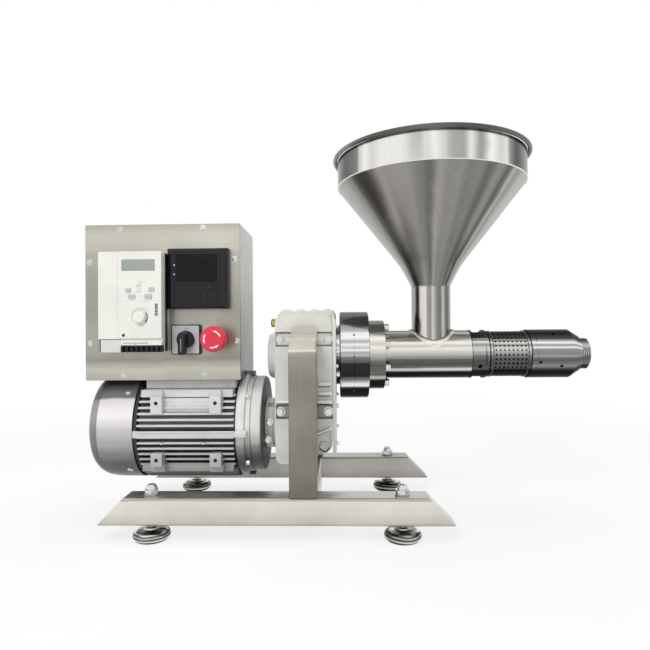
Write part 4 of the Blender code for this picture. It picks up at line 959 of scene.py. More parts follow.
@dataclass
class Frame(Assembly):
    """Two mitred rails, the tie between them and the posts that hold the gearbox."""

    half: float = 0.26
    tube: float = 0.04
    base: float = 0.025
    lean: float = 0.039
    post_x: float = -0.057
    post_foot: float = 0.0653
    bend: float = 0.2765
    slope: float = 0.017
    ledge: float = 0.281
    plate: tuple[float, float] = (0.092, 0.1)
    top: float = 0.311

    def rail(self, side: Side) -> None:
        """A rail of square tube, its long edges rolled round and its mitred ends closed by welded caps."""
        y, half = side.value * RAIL_Y, self.tube / 2.0
        rail = block(f"{side.label}_rail_tube", (RAIL_MIDDLE - self.half, y - half, self.base), (RAIL_MIDDLE
            + self.half, y + half, self.base + self.tube))
        for end in (-1.0, 1.0):
            move_points(rail, lambda p: p.z > self.base + half and (p.x - RAIL_MIDDLE) * end > 0.0,
                (-end * self.lean, 0.0, 0.0))
        round_edges(rail, 0.0035, 4, along(0))
        finished(rail, 0.0009, 2)
        drills = [rod("drill", 0.0051, Axis.Z, (RAIL_MIDDLE + end * FOOT_REACH, y, 0.0), 0.01, 0.08)
            for end in (-1.0, 1.0)]
        cut(rail, joined("drills", drills))
        # The rear rail takes the darker copy of the steel: painted shade.
        finish = "tube_brushed" if side is Side.FRONT else "tube_shaded"
        self.hand_over(rail, finish, f"{side.label}_rail")

    def tie(self) -> None:
        """The tube between the rails."""
        half, reach = self.tube / 2.0, RAIL_Y - self.tube / 2.0 - 0.0003
        tie = block("tie_tube", (self.post_x - half, -reach, self.base), (self.post_x + half, reach, self.base
            + self.tube))
        round_edges(tie, 0.0035, 4, along(1))
        self.hand_over(finished(tie), "tube_brushed", "cross_tube")

    def post(self, side: Side) -> None:
        """A square post with a folded head, an upright plate on it and the straps it carries."""
        sign, half = side.value, self.tube / 2.0
        inner, outer = RAIL_Y - half, RAIL_Y + half

        def slab(name: str, near: float, far: float, low: float, high: float, reach: float) -> Item:
            """A block about the post's X, between two distances from the middle plane."""
            return side_block(name, sign, (self.post_x - reach, near, low), (self.post_x + reach, far, high))

        tube = slab("post_tube", inner, outer, self.post_foot, self.bend, half)
        pick_faces(tube, Facing.UP.value)
        bpy.ops.mesh.extrude_region_move(TRANSFORM_OT_translate={"value": (0.0, 0.0, self.slope)})
        end_edit()
        move_points(tube, lambda p: p.z > self.bend + 0.01 and abs(p.y) > RAIL_Y, (0.0, -sign * self.slope, 0.0))
        folds = along(0)
        round_edges(tube, 0.0045, 5, lambda a, b: folds(a, b) and abs(a.y) > RAIL_Y and a.z > 0.1)
        round_edges(tube, 0.0022, 3, lambda a, b: abs(a.x - b.x) < TINY and (b - a).length > 0.008
            and min(abs(a.y), abs(b.y)) > inner + 0.01)
        low, high = self.plate
        parts = [finished(tube, 0.0006),
            finished(slab("ledge", low, inner + 0.004, self.ledge, self.bend + self.slope, half), 0.0008),
            finished(slab("plate", low, high, self.ledge, self.top, half), 0.001)]
        for z in STRAPS:
            strap = slab("strap", 0.0773, 0.0823, z - 0.009, z + 0.009, 0.043)
            move_points(strap, lambda p: True, (-0.001, 0.0, 0.0))
            web = slab("web", 0.0783, inner + 0.001, z - 0.0085, z + 0.0085, half - 0.002)
            parts += [finished(strap, 0.0008), finished(web, 0.0008)]
        self.hand_over(joined(f"{side.label}_post_welded", parts), "post_brushed", f"{side.label}_post")

    def bolts(self) -> None:
        """The bolts that hold the straps to the gearbox."""
        for side in Side:
            places = [looking((x, side.value * 0.0823, z), side.facing, 15.0 * number) for z in STRAPS
                for number, x in enumerate((-0.095, -0.0208))]
            self.fasten(Fasteners.hex_bolt(0.01), places, f"{side.label}_strap_bolts")

    def build(self) -> None:
        """Make the whole frame."""
        for side in Side:
            self.rail(side)
            self.post(side)
        self.tie()
        self.bolts()


@dataclass
class Feet(Assembly):
    """Levelling feet and the dome nuts above the rails."""

    rail_top: float = 0.0653

    def build(self) -> None:
        """Make the four feet with their nuts."""
        for side in Side:
            for end, sign in (("left", -1.0), ("right", 1.0)):
                place = (RAIL_MIDDLE + sign * FOOT_REACH, side.value * RAIL_Y, 0.0)
                self.foot(f"{side.label}_{end}", place)
                self.nut(f"{side.label}_{end}", place)

    def foot(self, where: str, place: Point) -> None:
        """A polished pad with a rolled rim, its hub and stud, and the rubber below."""
        pad = turned(f"pad_{where}", mm(0, 74.5, 3.8, 74.5, 4.5, 73.8, 4.5, 19, 8.8, 18.8, 10, 17.8, 10.4, 16, 12.5,
            15, 20, 14.2, 24.8, 12.6, 27, 9.8, 27.5, 7, 26.8, 4.2, 25, 2.2, 0, 2.2), Axis.Z, place, 64)
        self.hand_over(finished(pad), "foot_polish", f"foot_{where}", body=f"foot_{where}")
        rubber = turned(f"rubber_{where}", mm(0, 0, 22.5, 0, 23.6, 0.6, 24, 2.1, 0, 2.1), Axis.Z, place, 48)
        self.hand_over(finished(rubber), "rubber", body=f"foot_{where}")

    def nut(self, where: str, place: Point) -> None:
        """An acorn nut on a washer."""
        base = self.rail_top
        hexagon = Fasteners.hexagon("nut", 0.018, base + 0.0016, base + 0.0085, 0.0009)
        hexagon.data.transform(Matrix.Translation((place[0], place[1], 0.0)) @ Matrix.Rotation(0.25, 4, "Z"))
        washer = turned("nut_washer", [(0.0, base), (0.0107, base), (0.0109, base + 0.0003), (0.0109, base + 0.0013),
            (0.0, base + 0.0015)], Axis.Z, (place[0], place[1], 0.0), 40)
        dome = turned("dome", [(0.0, base + 0.0075), (0.0078, base + 0.008), (0.008, base + 0.0098),
            (0.0074, base + 0.0122), (0.006, base + 0.0143), (0.0038, base + 0.0156), (0.0, base + 0.016)], Axis.Z,
            (place[0], place[1], 0.0), 40)
        nut = joined(f"acorn_nut_{where}", [finished(hexagon, 0.0003), finished(washer), finished(dome)])
        self.hand_over(nut, "bright_steel", f"dome_nut_{where}")


@dataclass
class Gearbox(Assembly):
    """The cast housing with its cover, bolts, breather and the adapter to the motor."""

    left: float = -0.103
    right: float = -0.0145
    half: float = 0.086
    base: float = 0.108
    top: float = 0.329
    lobe_half: float = 0.046

    def body(self, name: str, low_x: float, high_x: float, half: float) -> Item:
        """The casting's rounded outline between two planes.

        Args:
            name: what the object is called.
            low_x: its left side.
            high_x: its right side.
            half: half its depth.

        Returns:
            The new object.
        """
        item = block(name, (low_x, -half, self.base), (high_x, half, self.top))
        move_points(item, lambda p: p.x > (low_x + high_x) / 2.0 and p.z < 0.2, (0.0, 0.0, 0.008))
        lengthwise, middle = along(1), (low_x + high_x) / 2.0
        for radius, left, upper in ((0.012, False, True), (0.012, True, True), (0.013, True, False),
                (0.016, False, False)):
            def corner(a: Vector, b: Vector) -> bool:
                """Whether an edge is the casting's corner of this turn."""
                outer = min(abs(a.x - low_x), abs(a.x - high_x)) < TINY
                return lengthwise(a, b) and outer and (a.x < middle) == left and (a.z > 0.2) == upper
            round_edges(item, radius, 8, corner)
        return item

    def lobe(self, x: float, radius: float) -> Item:
        """A bolt boss along the top, with rounded ends."""
        reach = self.lobe_half
        profile = [(0.0, -reach), (radius - 0.004, -reach), (radius - 0.0012, -reach + 0.0012),
            (radius, -reach + 0.004), (radius, reach - 0.004), (radius - 0.0012, reach - 0.0012),
            (radius - 0.004, reach), (0.0, reach)]
        return finished(turned("lobe", profile, Axis.Y, (x, 0.0, self.top + 0.012 - radius), 64))

    def pockets(self, sign: int) -> list[Item]:
        """Cutters for the strap pockets and the sunk panel on one side."""
        far = self.half + 0.01
        tools = [side_block("pocket", sign, (self.left + 0.0015, self.half - 0.009, z - 0.0112),
            (0.0, far, z + 0.0112)) for z in STRAPS]
        panel = side_block("panel", sign, (-0.04, self.half - 0.003, 0.1135), (-0.017, far, 0.144))
        move_points(panel, lambda p: p.x > -0.03 and p.z > 0.13, (0.0, 0.0, 0.008))
        round_edges(panel, 0.005, 4, along(1))
        return tools + [panel]

    def ribs(self) -> None:
        """Raised rounded ribs on both sides, level ones and a slanting one, in a lighter paint as painted highlight,
        over thin dark strips of painted shadow.
        """
        ribs, grooves = [], []
        root, crest, sunk = self.half - 0.003, self.half + 0.0055, self.half + 0.0003
        level = ((-0.037, 0.2205, 0.2262), (-0.037, 0.206, 0.2115), (-0.037, 0.193, 0.1985), (-0.1015, 0.194, 0.198))
        rows = [(x, low, high, low - 0.003, low + 0.001, 0.0024, 0.0) for x, low, high in level]
        rows.append((-0.0395, 0.1445, 0.1485, 0.142, 0.145, 0.0018, 0.0095))
        for side in Side:
            for x, low, high, shadow_strip_low, shadow_strip_high, edge, rise in rows:
                rib = side_block("rib", side.value, (x, root, low), (self.right - 0.0008, crest, high))
                # A thin dark strip under each rib, barely proud of the side: painted shadow.
                groove = side_block("groove", side.value, (x, root, shadow_strip_low),
                    (self.right - 0.003, sunk, shadow_strip_high))
                for item in (rib, groove):
                    move_points(item, lambda p: p.x > -0.03, (0.0, 0.0, rise))
                ribs.append(finished(rib, edge, 4))
                grooves.append(finished(groove, 0.0002, 1))
        self.hand_over(joined("casting_ribs", ribs), "rib_paint")
        self.hand_over(joined("casting_grooves", grooves), "pocket_paint")

    def low_corner(self) -> Item:
        """The casting's deeper corner towards the motor, with a full rounding underneath."""
        reach = self.half - 0.0006
        corner = block("low_corner", (self.left + 0.0004, -reach, 0.099), (-0.05, reach, 0.14))
        lengthwise = along(1)
        round_edges(corner, 0.012, 6, lambda a, b: lengthwise(a, b) and a.z < 0.1)
        round_edges(corner, 0.008, 5, lambda a, b: abs(a.z - b.z) < TINY and a.z < 0.1 and abs(a.x - b.x) > 0.005)
        return finished(corner, angle=40.0)

    def plugs(self) -> None:
        """A round plug with a deep crescent shadow, low on each side."""
        plug = turned("plug", mm(0, -2, 8.5, -2, 8.5, 0.6, 7.8, 1.8, 6.4, 2.2, 5.6, 1.2, 0, 1), Axis.Z, ORIGIN, 48)
        x, reach, z = -0.0268, self.half - 0.0028, 0.1262
        self.fasten(finished(plug), on_both_sides([(x, z)], reach), "blind_plugs", "gearbox_paint")
        arcs = [arc_mark("shadow", (x, side.value * (reach + 0.002), z), 0.007, 0.0022, 200.0, 350.0)
            for side in Side]
        self.hand_over(joined("plug_shadows", arcs), "recess_paint")

    def housing(self) -> None:
        """The housing with its lobes, pockets, bosses and deeper corner."""
        body = self.body("gearbox_casting", self.left, self.right, self.half)
        for side in Side:
            cut(body, joined("pockets", self.pockets(side.value)))
        cut(body, rod("bore", 0.0315, Axis.X, PRESS, -0.04, 0.01, 64))
        finished(body, 0.0016, 3, angle=30.0)
        boss = turned("rear_boss", mm(0, -99, 46, -99, 45.5, -103.5, 44, -105.5, 40, -112, 37.2, -118.5, 35, -121.2,
            0, -121.5), Axis.X, PRESS, 72)
        plug_boss = turned("plug_boss", mm(0, -98, 10.5, -98, 10.5, -103, 0, -103.2), Axis.X, (0.0, -0.03, 0.3187),
            32)
        sizes = ((-0.088, 0.015), (-0.0655, 0.014), (-0.0435, 0.014), (-0.0235, 0.015))
        lobes = [self.lobe(x, radius) for x, radius in sizes]
        cut(lobes[-1], block("split", (self.right, -0.1, 0.3), (0.0, 0.1, 0.36)))
        parts = [body, finished(boss), finished(plug_boss), *lobes, self.low_corner()]
        self.hand_over(joined("gearbox_casting", parts), "gearbox_paint", "gearbox_housing")

    def cover(self) -> None:
        """The cover plate towards the press, with its bolts."""
        body = self.body("gearbox_lid", -0.0142, -0.0085, self.half - 0.002)
        finished(body, 0.0012, 3, angle=30.0)
        lobe = turned("cover_lobe", [(0.0, -self.lobe_half), (0.01, -self.lobe_half), (0.013, -0.042), (0.013, 0.042),
            (0.01, self.lobe_half), (0.0, self.lobe_half)], Axis.Y, (-0.0215, 0.0, self.top - 0.0005), 48)
        cut(lobe, block("split", (-0.05, -0.1, 0.3), (-0.0142, 0.1, 0.36)))
        cut(body, rod("bore", 0.0215, Axis.X, PRESS, -0.02, 0.01, 48))
        self.hand_over(joined("gearbox_lid", [body, finished(lobe)]), "gearbox_paint", "gearbox_cover")
        places = [looking((-0.0085, y, z), Facing.OUTLET, 10.0) for z in (0.312, 0.25, 0.188, 0.13)
            for y in (-0.076, 0.076)]
        self.fasten(Fasteners.hex_bolt(0.005), places, "lid_bolts")

    def adapter(self) -> None:
        """The disc towards the motor with its flank in near black as painted shadow, and the notched neck with its
        collar, in a lighter paint as painted light, and its bolts.
        """
        disc = turned("adapter_disc", mm(13, -127.5, 76.8, -127.5, 78.4, -128.4, 79, -130, 79, -142.5, 78.4, -143.5,
            13, -143.5), Axis.X, MOTOR, 96, ring=True)
        self.hand_over(finished(disc, angle=50.0), "shield_paint", "input_adapter")
        flank = turned("adapter_flank", mm(13, -127.6, 76.4, -127.6, 76.2, -127, 60, -126.2, 13, -126.2), Axis.X,
            MOTOR, 96, ring=True)
        self.hand_over(finished(flank, angle=50.0), "recess_paint")
        neck = turned("adapter_neck", mm(13, -126.3, 40, -126.3, 41.5, -125.5, 41.5, -114, 40, -112.4, 39.2, -111.5,
            39.2, -103.3, 13, -103.3), Axis.X, MOTOR, 96, ring=True)
        cut(neck, *[block("notch", (-0.124, low, 0.18), (-0.1125, high, 0.186))
            for low, high in ((-0.06, -0.015), (0.015, 0.06))])
        collar = turned("adapter_collar", mm(38.5, -108.8, 53.5, -108.8, 55.2, -108.2, 56, -107, 56, -103.3, 38.5,
            -103.3), Axis.X, MOTOR, 96, ring=True)
        neck = joined("adapter_neck", [neck, collar])
        self.hand_over(finished(neck, 0.0006, 2, angle=30.0), "neck_paint")
        places = on_both_sides(((-0.1215, 0.129), (-0.118, 0.157)), 0.0408, 12.0)
        self.fasten(Fasteners.hex_bolt(0.008), places, "adapter_bolts")

    def breather(self) -> None:
        """The brass breather with its hexagon and vented cap."""
        centre = (0.0, -0.03, 0.3187)
        cap = turned("breather_cap", mm(0, -115.5, 4, -115.4, 6.2, -114.6, 7.2, -113.2, 7.5, -111, 6.8, -110.4, 6.8,
            -109.6, 6, -109.2, 6, -103.3, 0, -103.3), Axis.X, centre, 40)
        hexagon = Fasteners.hexagon("breather_hex", 0.0156, 0.104, 0.1085, 0.0008)
        hexagon.data.transform(looking(centre, Facing.FAN))
        self.hand_over(joined("brass_breather", [finished(cap), finished(hexagon, 0.0003)]), "brass", "breather_plug")

    def build(self) -> None:
        """Make the gearbox's visible pieces."""
        self.housing()
        self.ribs()
        self.plugs()
        self.cover()
        self.adapter()
        self.breather()


@dataclass
class PressLine(Assembly):
    """Flanges, feed barrel, collar, drilled cage, head and nozzle along the pressing screw."""

    bore: float = 0.024

    def ring(self, name: str, outside: Profile, inner: float, finish: str, node: str) -> None:
        """A turned ring about the press axis.

        Args:
            name: what the piece is called.
            outside: radius and X of its outer side, from one face to the other.
            inner: radius of its bore.
            finish: its finish.
            node: the node that it replaces.
        """
        profile = [(inner, outside[0][1]), *outside, (inner, outside[-1][1])]
        self.hand_over(finished(turned(name, profile, Axis.X, PRESS, 128, ring=True)), finish, node)

    def flanges(self) -> None:
        """The thick polished flange, the one the barrel is screwed to, and its cap screws."""
        main = mm(50, -8.2, 50, -2.6, 70, -2.6, 71.6, -1.8, 72.5, 0, 72.5, 20, 72.2, 20.3, 72.5, 20.6, 72.5, 42.3,
            71.6, 44.3, 70, 45.1)
        self.ring("flange_thick", main, 0.026, "flange_polish", "main_flange")
        thin = mm(57.5, 45.4, 57.5, 70, 57, 71, 56, 71.4)
        self.ring("flange_barrel", thin, self.bore, "ring_polish", "barrel_flange")
        places = [about(PRESS, "X", 22.5 + 45.0 * number) @ looking((0.0714, 0.0, PRESS[2] + 0.0495), Facing.OUTLET,
            13.0 * number) for number in range(8)]
        self.fasten(Fasteners.cap_screw(), places, "flange_cap_screws")
        upright = looking((0.0203, 0.0, PRESS[2] + 0.0718), Facing.UP)
        pins = [about(PRESS, "X", angle) @ upright for angle in (62.0, 90.0, 140.0, 250.0)]
        pin = turned("pin", mm(0, -1, 1.6, -1, 1.6, 1, 0, 1), Axis.Z, ORIGIN, 20)
        self.fasten(finished(pin), pins, "flange_pins", "dark_steel")

    def barrel(self) -> None:
        """The feed barrel with its spout let in as a saddle."""
        profile = [(self.bore, 0.0717), (0.0394, 0.0717), (0.04, 0.0723), (0.04, 0.2126), (0.0394, 0.2132),
            (self.bore, 0.2132)]
        barrel = turned("press_barrel", profile, Axis.X, PRESS, 128, ring=True)
        cut(barrel, rod("throat", 0.0225, Axis.Z, HOPPER, PRESS[2], 0.34, 64))
        self.hand_over(finished(barrel, angle=40.0), "barrel_polish", "feed_barrel")
        spout = turned("feed_spout_tube", mm(29.5, 276, 32.5, 276, 32.5, 377, 31.8, 377.7, 29.5, 377.7), Axis.Z,
            HOPPER, 96, ring=True)
        cut(spout, rod("saddle", 0.0396, Axis.X, PRESS, 0.1, 0.21, 128))
        self.hand_over(finished(spout, angle=40.0), "spout_polish")
        self.saddle_weld()

    def saddle_ring(self, name: str, middle: float, bead: float) -> Item:
        """A ring that follows the line where a round tube meets the barrel.

        Args:
            name: what the object is called.
            middle: radius of its middle line about the spout's axis.
            bead: half its width.

        Returns:
            The new object.
        """
        bpy.ops.object.select_all(action="DESELECT")
        bpy.ops.mesh.primitive_torus_add(major_radius=middle, minor_radius=bead, major_segments=160,
            minor_segments=12, location=HOPPER)
        ring = named(name)
        surface, flat = 0.0402, 0.7
        for corner in begin_edit(ring, "VERT").verts:
            height = math.sqrt(max(surface ** 2 - corner.co.y ** 2, 0.0))
            corner.co.z = PRESS[2] + height + corner.co.z * flat
        bmesh.update_edit_mesh(ring.data)
        end_edit()
        return finished(ring, angle=60.0)

    def saddle_weld(self) -> None:
        """The dressed fillet between spout and barrel, and the bright line at its toe."""
        self.hand_over(self.saddle_ring("saddle_fillet", 0.0347, 0.0029), "barrel_polish")
        self.hand_over(self.saddle_ring("saddle_toe", 0.0376, 0.0007), "weld_bead")

    def collar(self) -> None:
        """The union collar with wrench flats and hook-spanner holes."""
        profile = [(self.bore, 0.2135), (0.04, 0.2135), (0.0405, 0.214), (0.0405, 0.2392), (0.04, 0.2406),
            (0.0385, 0.2419), (0.0375, 0.2424), (self.bore, 0.2424)]
        collar = turned("union_collar", profile, Axis.X, PRESS, 128, ring=True)
        slabs = block("flat", (0.2166, -0.06, 0.0365), (0.2362, 0.06, 0.06))
        cut(collar, around(slabs, PRESS, [90.0 * k for k in range(4)], "flats"))
        drill = rod("drill", 0.0034, Axis.Z, (0.2255, 0.0, 0.0), 0.033, 0.05, 24)
        cut(collar, around(drill, PRESS, [118.0 + 90.0 * k for k in range(4)], "drills"))
        self.hand_over(finished(collar, 0.0003, 2, angle=30.0), "cage_polish", "cage_collar")

    def cage(self) -> None:
        """The drilled cage: columns of small round holes all the way round."""
        left, right, radius = 0.2427, 0.3087, 0.0385
        columns, rows, pitch, hole = 8, 32, 0.0069, 0.0016
        profile = [(self.bore, left), (radius - 0.0005, left), (radius, left + 0.0005), (radius, left + 0.004),
            (radius - 0.0006, left + 0.0046), (radius - 0.0006, right - 0.0046), (radius, right - 0.004),
            (radius, right - 0.0005), (radius - 0.0005, right), (self.bore, right)]
        cage = finished(turned("drilled_cage", profile, Axis.X, PRESS, 128, ring=True), angle=40.0)
        first = (left + right - pitch * (columns - 1)) / 2.0
        drill = turned("drill", [(0.0, 0.0325), (hole, 0.0325), (hole, 0.0374), (hole * 1.45, 0.0382),
            (hole * 1.45, 0.04), (0.0, 0.04)], Axis.Z, ORIGIN, 10)
        places = [about(PRESS, "X", 360.0 * row / rows) @ Matrix.Translation((first + column * pitch, 0.0, PRESS[2]))
            for column in range(columns) for row in range(rows)]
        cut(cage, spread(drill, places, "drills"))
        self.hand_over(finished(cage, angle=40.0), "cage_polish", "press_cage", slot="brushed_steel")
        # Near the cage's ends, thin dark hoops: painted shadow at the shoulders there.
        shadow_rings = [turned("ring", [(0.037, x), (radius + 0.0003, x), (radius + 0.0003, x + 0.0011),
            (0.037, x + 0.0011)], Axis.X, PRESS, 128, ring=True) for x in (left + 0.0042, right - 0.0053)]
        self.hand_over(joined("cage_rings", [finished(ring) for ring in shadow_rings]), "dark_steel", slot="brushed_steel")

    def head(self) -> None:
        """The long polished head with its lip, chamfer and hook-spanner holes."""
        profile = [(self.bore, 0.309), (0.0396, 0.309), (0.0405, 0.3097), (0.0405, 0.3165), (0.04, 0.3169),
            (0.04, 0.3181), (0.0405, 0.3185), (0.0405, 0.377), (0.0402, 0.378), (0.0396, 0.3791), (0.0306, 0.3936),
            (0.0298, 0.3943), (0.008, 0.3943), (0.008, 0.36), (self.bore, 0.326)]
        head = turned("outlet_head", profile, Axis.X, PRESS, 128, ring=True)
        spots = ((0.348, 36.0), (0.3565, 118.0), (0.348, 216.0), (0.3565, 298.0), (0.322, 108.0))
        holes = [around(rod("drill", 0.0026, Axis.Z, (x, 0.0, 0.0), 0.0335, 0.05, 24), PRESS, (angle,), "hole")
            for x, angle in spots]
        cut(head, joined("holes", holes))
        self.hand_over(finished(head, 0.00025, 2, angle=30.0), "head_polish", "press_head")

    def nozzle(self) -> None:
        """The outlet's hexagon nut with its turned grooves."""
        left, right, radius = 0.3946, 0.41, 0.0272
        groove = ((0.0, 0.0), (0.0014, 0.0004), (0.0014, 0.001), (0.0, 0.0014))
        grooves = [(radius - depth, left + at + step) for at in (0.0034, 0.0066, 0.0098) for depth, step in groove]
        collar = turned("nozzle_body", [(0.008, left), (0.025, left), (radius, left + 0.001), *grooves,
            (radius, right - 0.003), (radius - 0.0035, right - 0.0004), (radius - 0.0042, right), (0.01, right),
            (0.008, right - 0.002)], Axis.X, PRESS, 96, ring=True)
        slab = block("slab", (left + 0.0015, -0.03, 0.0252), (right + 0.01, 0.03, 0.05))
        combine(collar, around(slab, PRESS, [60.0 * k for k in range(6)], "flats"), crossing=True)
        self.hand_over(finished(collar, 0.0004, 2, angle=25.0), "nozzle_steel", "nozzle", body="nozzle")

    def build(self) -> None:
        """Make the press line."""
        self.flanges()
        self.barrel()
        self.collar()
        self.cage()
        self.head()
        self.nozzle()


@dataclass
class Hopper(Assembly):
    """The funnel of sheet steel: rolled rim, straight band, cone with a knee and neck."""

    sheet: float = 0.0012

    def build(self) -> None:
        """Make the rim, the band, the cone, their lining and the seam between band and cone."""
        rim_z, rim, bead, band = 0.5926, 0.16, 0.0038, 0.156
        arc = []
        for step in range(15):
            angle = math.radians(200.0 - step * 290.0 / 14.0)
            arc.append((rim + bead * math.cos(angle), rim_z + bead * math.sin(angle)))
        bead_piece = turned("hopper_rim", arc, Axis.Z, HOPPER, 160, ring=True)
        self.hand_over(finished(bead_piece, angle=60.0), "rim_polish")
        outside = [(band - self.sheet, rim_z - 0.002), (band, rim_z - 0.002), (band, 0.5476), (band - 0.0006, 0.5466)]
        inside = [(band - self.sheet - 0.0006, 0.547), (band - self.sheet, 0.548)]
        band_piece = turned("hopper_band", outside + inside, Axis.Z, HOPPER, 160, ring=True)
        self.hand_over(finished(band_piece, angle=40.0), "band_polish", "hopper")
        cone = mm(155.2, 546.4, 150, 540.2, 56, 420.5, 50, 412, 45, 403.5, 34.5, 383, 33, 379.6, 32.5, 378)
        inner = mm(31.1, 378, 31.6, 379.8, 33.1, 383.6, 43.6, 404.1, 48.6, 412.6, 54.6, 421.1, 148.6, 540.8, 153.8,
            546.8)
        cone_piece = turned("hopper_cone", cone + inner, Axis.Z, HOPPER, 160, ring=True)
        self.hand_over(finished(cone_piece, angle=40.0), "cone_brushed")
        line = mm(30.8, 378.4, 31.3, 380.1, 32.8, 384, 43.3, 404.5, 48.3, 413, 54.3, 421.5, 148.3, 541.3, 153.8,
            547.9, 154.3, 549.2, 154.3, 589.8)
        lining = turned("hopper_lining", line + [(wide - 0.0002, high + 0.0002) for wide, high in reversed(line)],
            Axis.Z, HOPPER, 160, ring=True)
        self.hand_over(finished(lining, angle=40.0), "lining_steel")
        seam = turned("hopper_seam", mm(155.2, 546.2, 156.2, 546.4, 156.5, 547, 156.2, 547.7, 155.2, 547.9), Axis.Z,
            HOPPER, 160, ring=True)
        self.hand_over(finished(seam), "weld_bead", slot="polished_steel")


@dataclass
class Motor(Assembly):
    """The finned motor with its end shields and fan cover."""

    left: float = -0.321
    right: float = -0.1675
    radius: float = 0.088
    core: float = 0.0765
    seat: float = 0.214
    pitch: float = 0.009
    pads: tuple[float, float] = (-0.2885, -0.1962)

    def fins(self) -> list[Item]:
        """Level fins on both sides and upright ones below, each with a rounded edge."""
        left, right, made = self.left + 0.0008, self.right - 0.0008, []
        for number in range(-6, 7):
            middle = number * self.pitch
            near = math.sqrt(max((self.core - 0.006) ** 2 - middle ** 2, 0.0))
            far = math.sqrt(self.radius ** 2 - middle ** 2)
            if number != 0:
                made += [side_block("fin", side.value, (left, near, MOTOR[2] + middle - 0.0017),
                    (right, far, MOTOR[2] + middle + 0.0017)) for side in Side]
            if abs(number) < 6:
                made.append(block("fin", (left, middle - 0.0012, MOTOR[2] - far),
                    (right, middle + 0.0012, MOTOR[2] - near)))
        return [finished(fin, 0.0012, 3) for fin in made]

    def side_details(self, sign: int) -> list[Item]:
        """Foot pads with their webs, and the middle bar, on one side."""
        steps = ((0.009, 0.062, 0.0885, 0.178, 0.205), (0.0075, 0.058, 0.08, 0.2, 0.214),
            (0.009, 0.062, 0.0885, 0.0955, 0.117), (0.0105, 0.05, 0.08, 0.086, 0.0975))
        rows = [((x - reach, near, low), (x + reach, far, high)) for x in self.pads
            for reach, near, far, low, high in steps]
        left, right = self.left, self.right
        rows += [
            ((left - 0.005, 0.07, 0.1405), (right + 0.001, 0.0886, 0.1515)),
            ((left - 0.001, 0.07, 0.1486), (right + 0.001, 0.0905, 0.1515)),
            ((left - 0.001, 0.07, 0.1405), (right + 0.001, 0.0905, 0.1434)),
            ((left + 0.004, 0.05, 0.202), (right - 0.004, 0.0742, 0.2137)),
            ((-0.2795, 0.05, 0.179), (-0.206, 0.0772, 0.201)),
            ((left + 0.004, 0.045, 0.084), (right - 0.004, 0.069, 0.0965))]
        return [finished(side_block("slab", sign, low, high), 0.001) for low, high in rows]

    def body(self) -> None:
        """The finned body with pads, bars and the seat on top."""
        core = turned("motor_core", [(0.0486, self.left), (self.core - 0.001, self.left),
            (self.core, self.left + 0.001), (self.core, self.right - 0.001), (self.core - 0.001, self.right),
            (0.0486, self.right)], Axis.X, MOTOR, 96, ring=True)
        cut(core, block("seat", (self.left - 0.01, -0.058, self.seat), (self.right + 0.01, 0.058, 0.26)))
        parts = [finished(core, angle=35.0), *self.fins(), *self.side_details(-1), *self.side_details(1)]
        self.hand_over(joined("finned_body", parts), "motor_paint", "motor_body")
        # Black discs in the pads' tapped holes: painted shadow inside the holes.
        insert = turned("insert", mm(0, -3, 3, -3, 3, 0.2, 2.5, 0.4, 2.1, 0.1, 0, 0.1), Axis.Z, ORIGIN, 28)
        spots = [(x, z) for x in self.pads for z in (0.1945, 0.106)]
        hole_shadows = spread(finished(insert), on_both_sides(spots, 0.0885), "tapped_inserts")
        self.hand_over(hole_shadows, "black_plastic", slot="motor_paint")
        pin = turned("pin", mm(0, -4, 2.2, -4, 2.2, 0, 1.6, 0.7, 0, 0.9), Axis.Z, ORIGIN, 20)
        pins = on_both_sides(((-0.2805, 0.1322), (-0.2144, 0.1322)), 0.0878)
        self.fasten(finished(pin), pins, "body_pins")

    def shields(self) -> None:
        """The shield towards the gearbox with its lug and tie bolts, and the one behind the fan."""
        front = turned("drive_shield", mm(15, -167.2, 80, -167.2, 82.6, -166.4, 83.8, -164.8, 84.5, -162, 84.2,
            -155.5, 83.5, -153.8, 83.5, -153.2, 82.2, -152.4, 80.8, -152.2, 80, -151.6, 80, -145.2, 79, -144, 77,
            -143.8, 15, -143.8), Axis.X, MOTOR, 128, ring=True)
        cut(front, block("flat", (-0.2, -0.1, 0.2277), (-0.1597, 0.1, 0.3)))
        lug = soft_block("lug", (-0.1588, -0.0065, 0.079), (-0.1462, 0.0065, 0.088), 0.002, 3)
        parts = [finished(front, angle=30.0), around(lug, MOTOR, (0.0, 180.0, 270.0), "lugs"), soft_block("bar",
            (-0.1665, -0.0905, 0.1412), (-0.148, -0.076, 0.1508), 0.0014)]
        self.hand_over(joined("drive_shield", parts), "shield_paint", "drive_end_shield", slot="motor_paint")
        # The shield behind the fan in near black: painted shadow between cowl and body.
        rear = turned("fan_shield", mm(13, -333, 82, -333, 84, -331, 84, -321.3, 13, -321.3), Axis.X, MOTOR, 96,
            ring=True)
        cut(rear, block("flat", (-0.35, -0.1, 0.2242), (-0.31, 0.1, 0.3)))
        self.hand_over(finished(rear, angle=30.0), "recess_paint", "rear_shield", slot="motor_paint")
        places = [about(MOTOR, "X", angle) @ looking((-0.1524, 0.0, MOTOR[2] + 0.082), Facing.OUTLET)
            @ Matrix.Scale(0.9, 4) for angle in (50.0, 130.0, 230.0, 310.0)]
        self.fasten(Fasteners.hex_bolt(0.008), places, "shield_bolts")

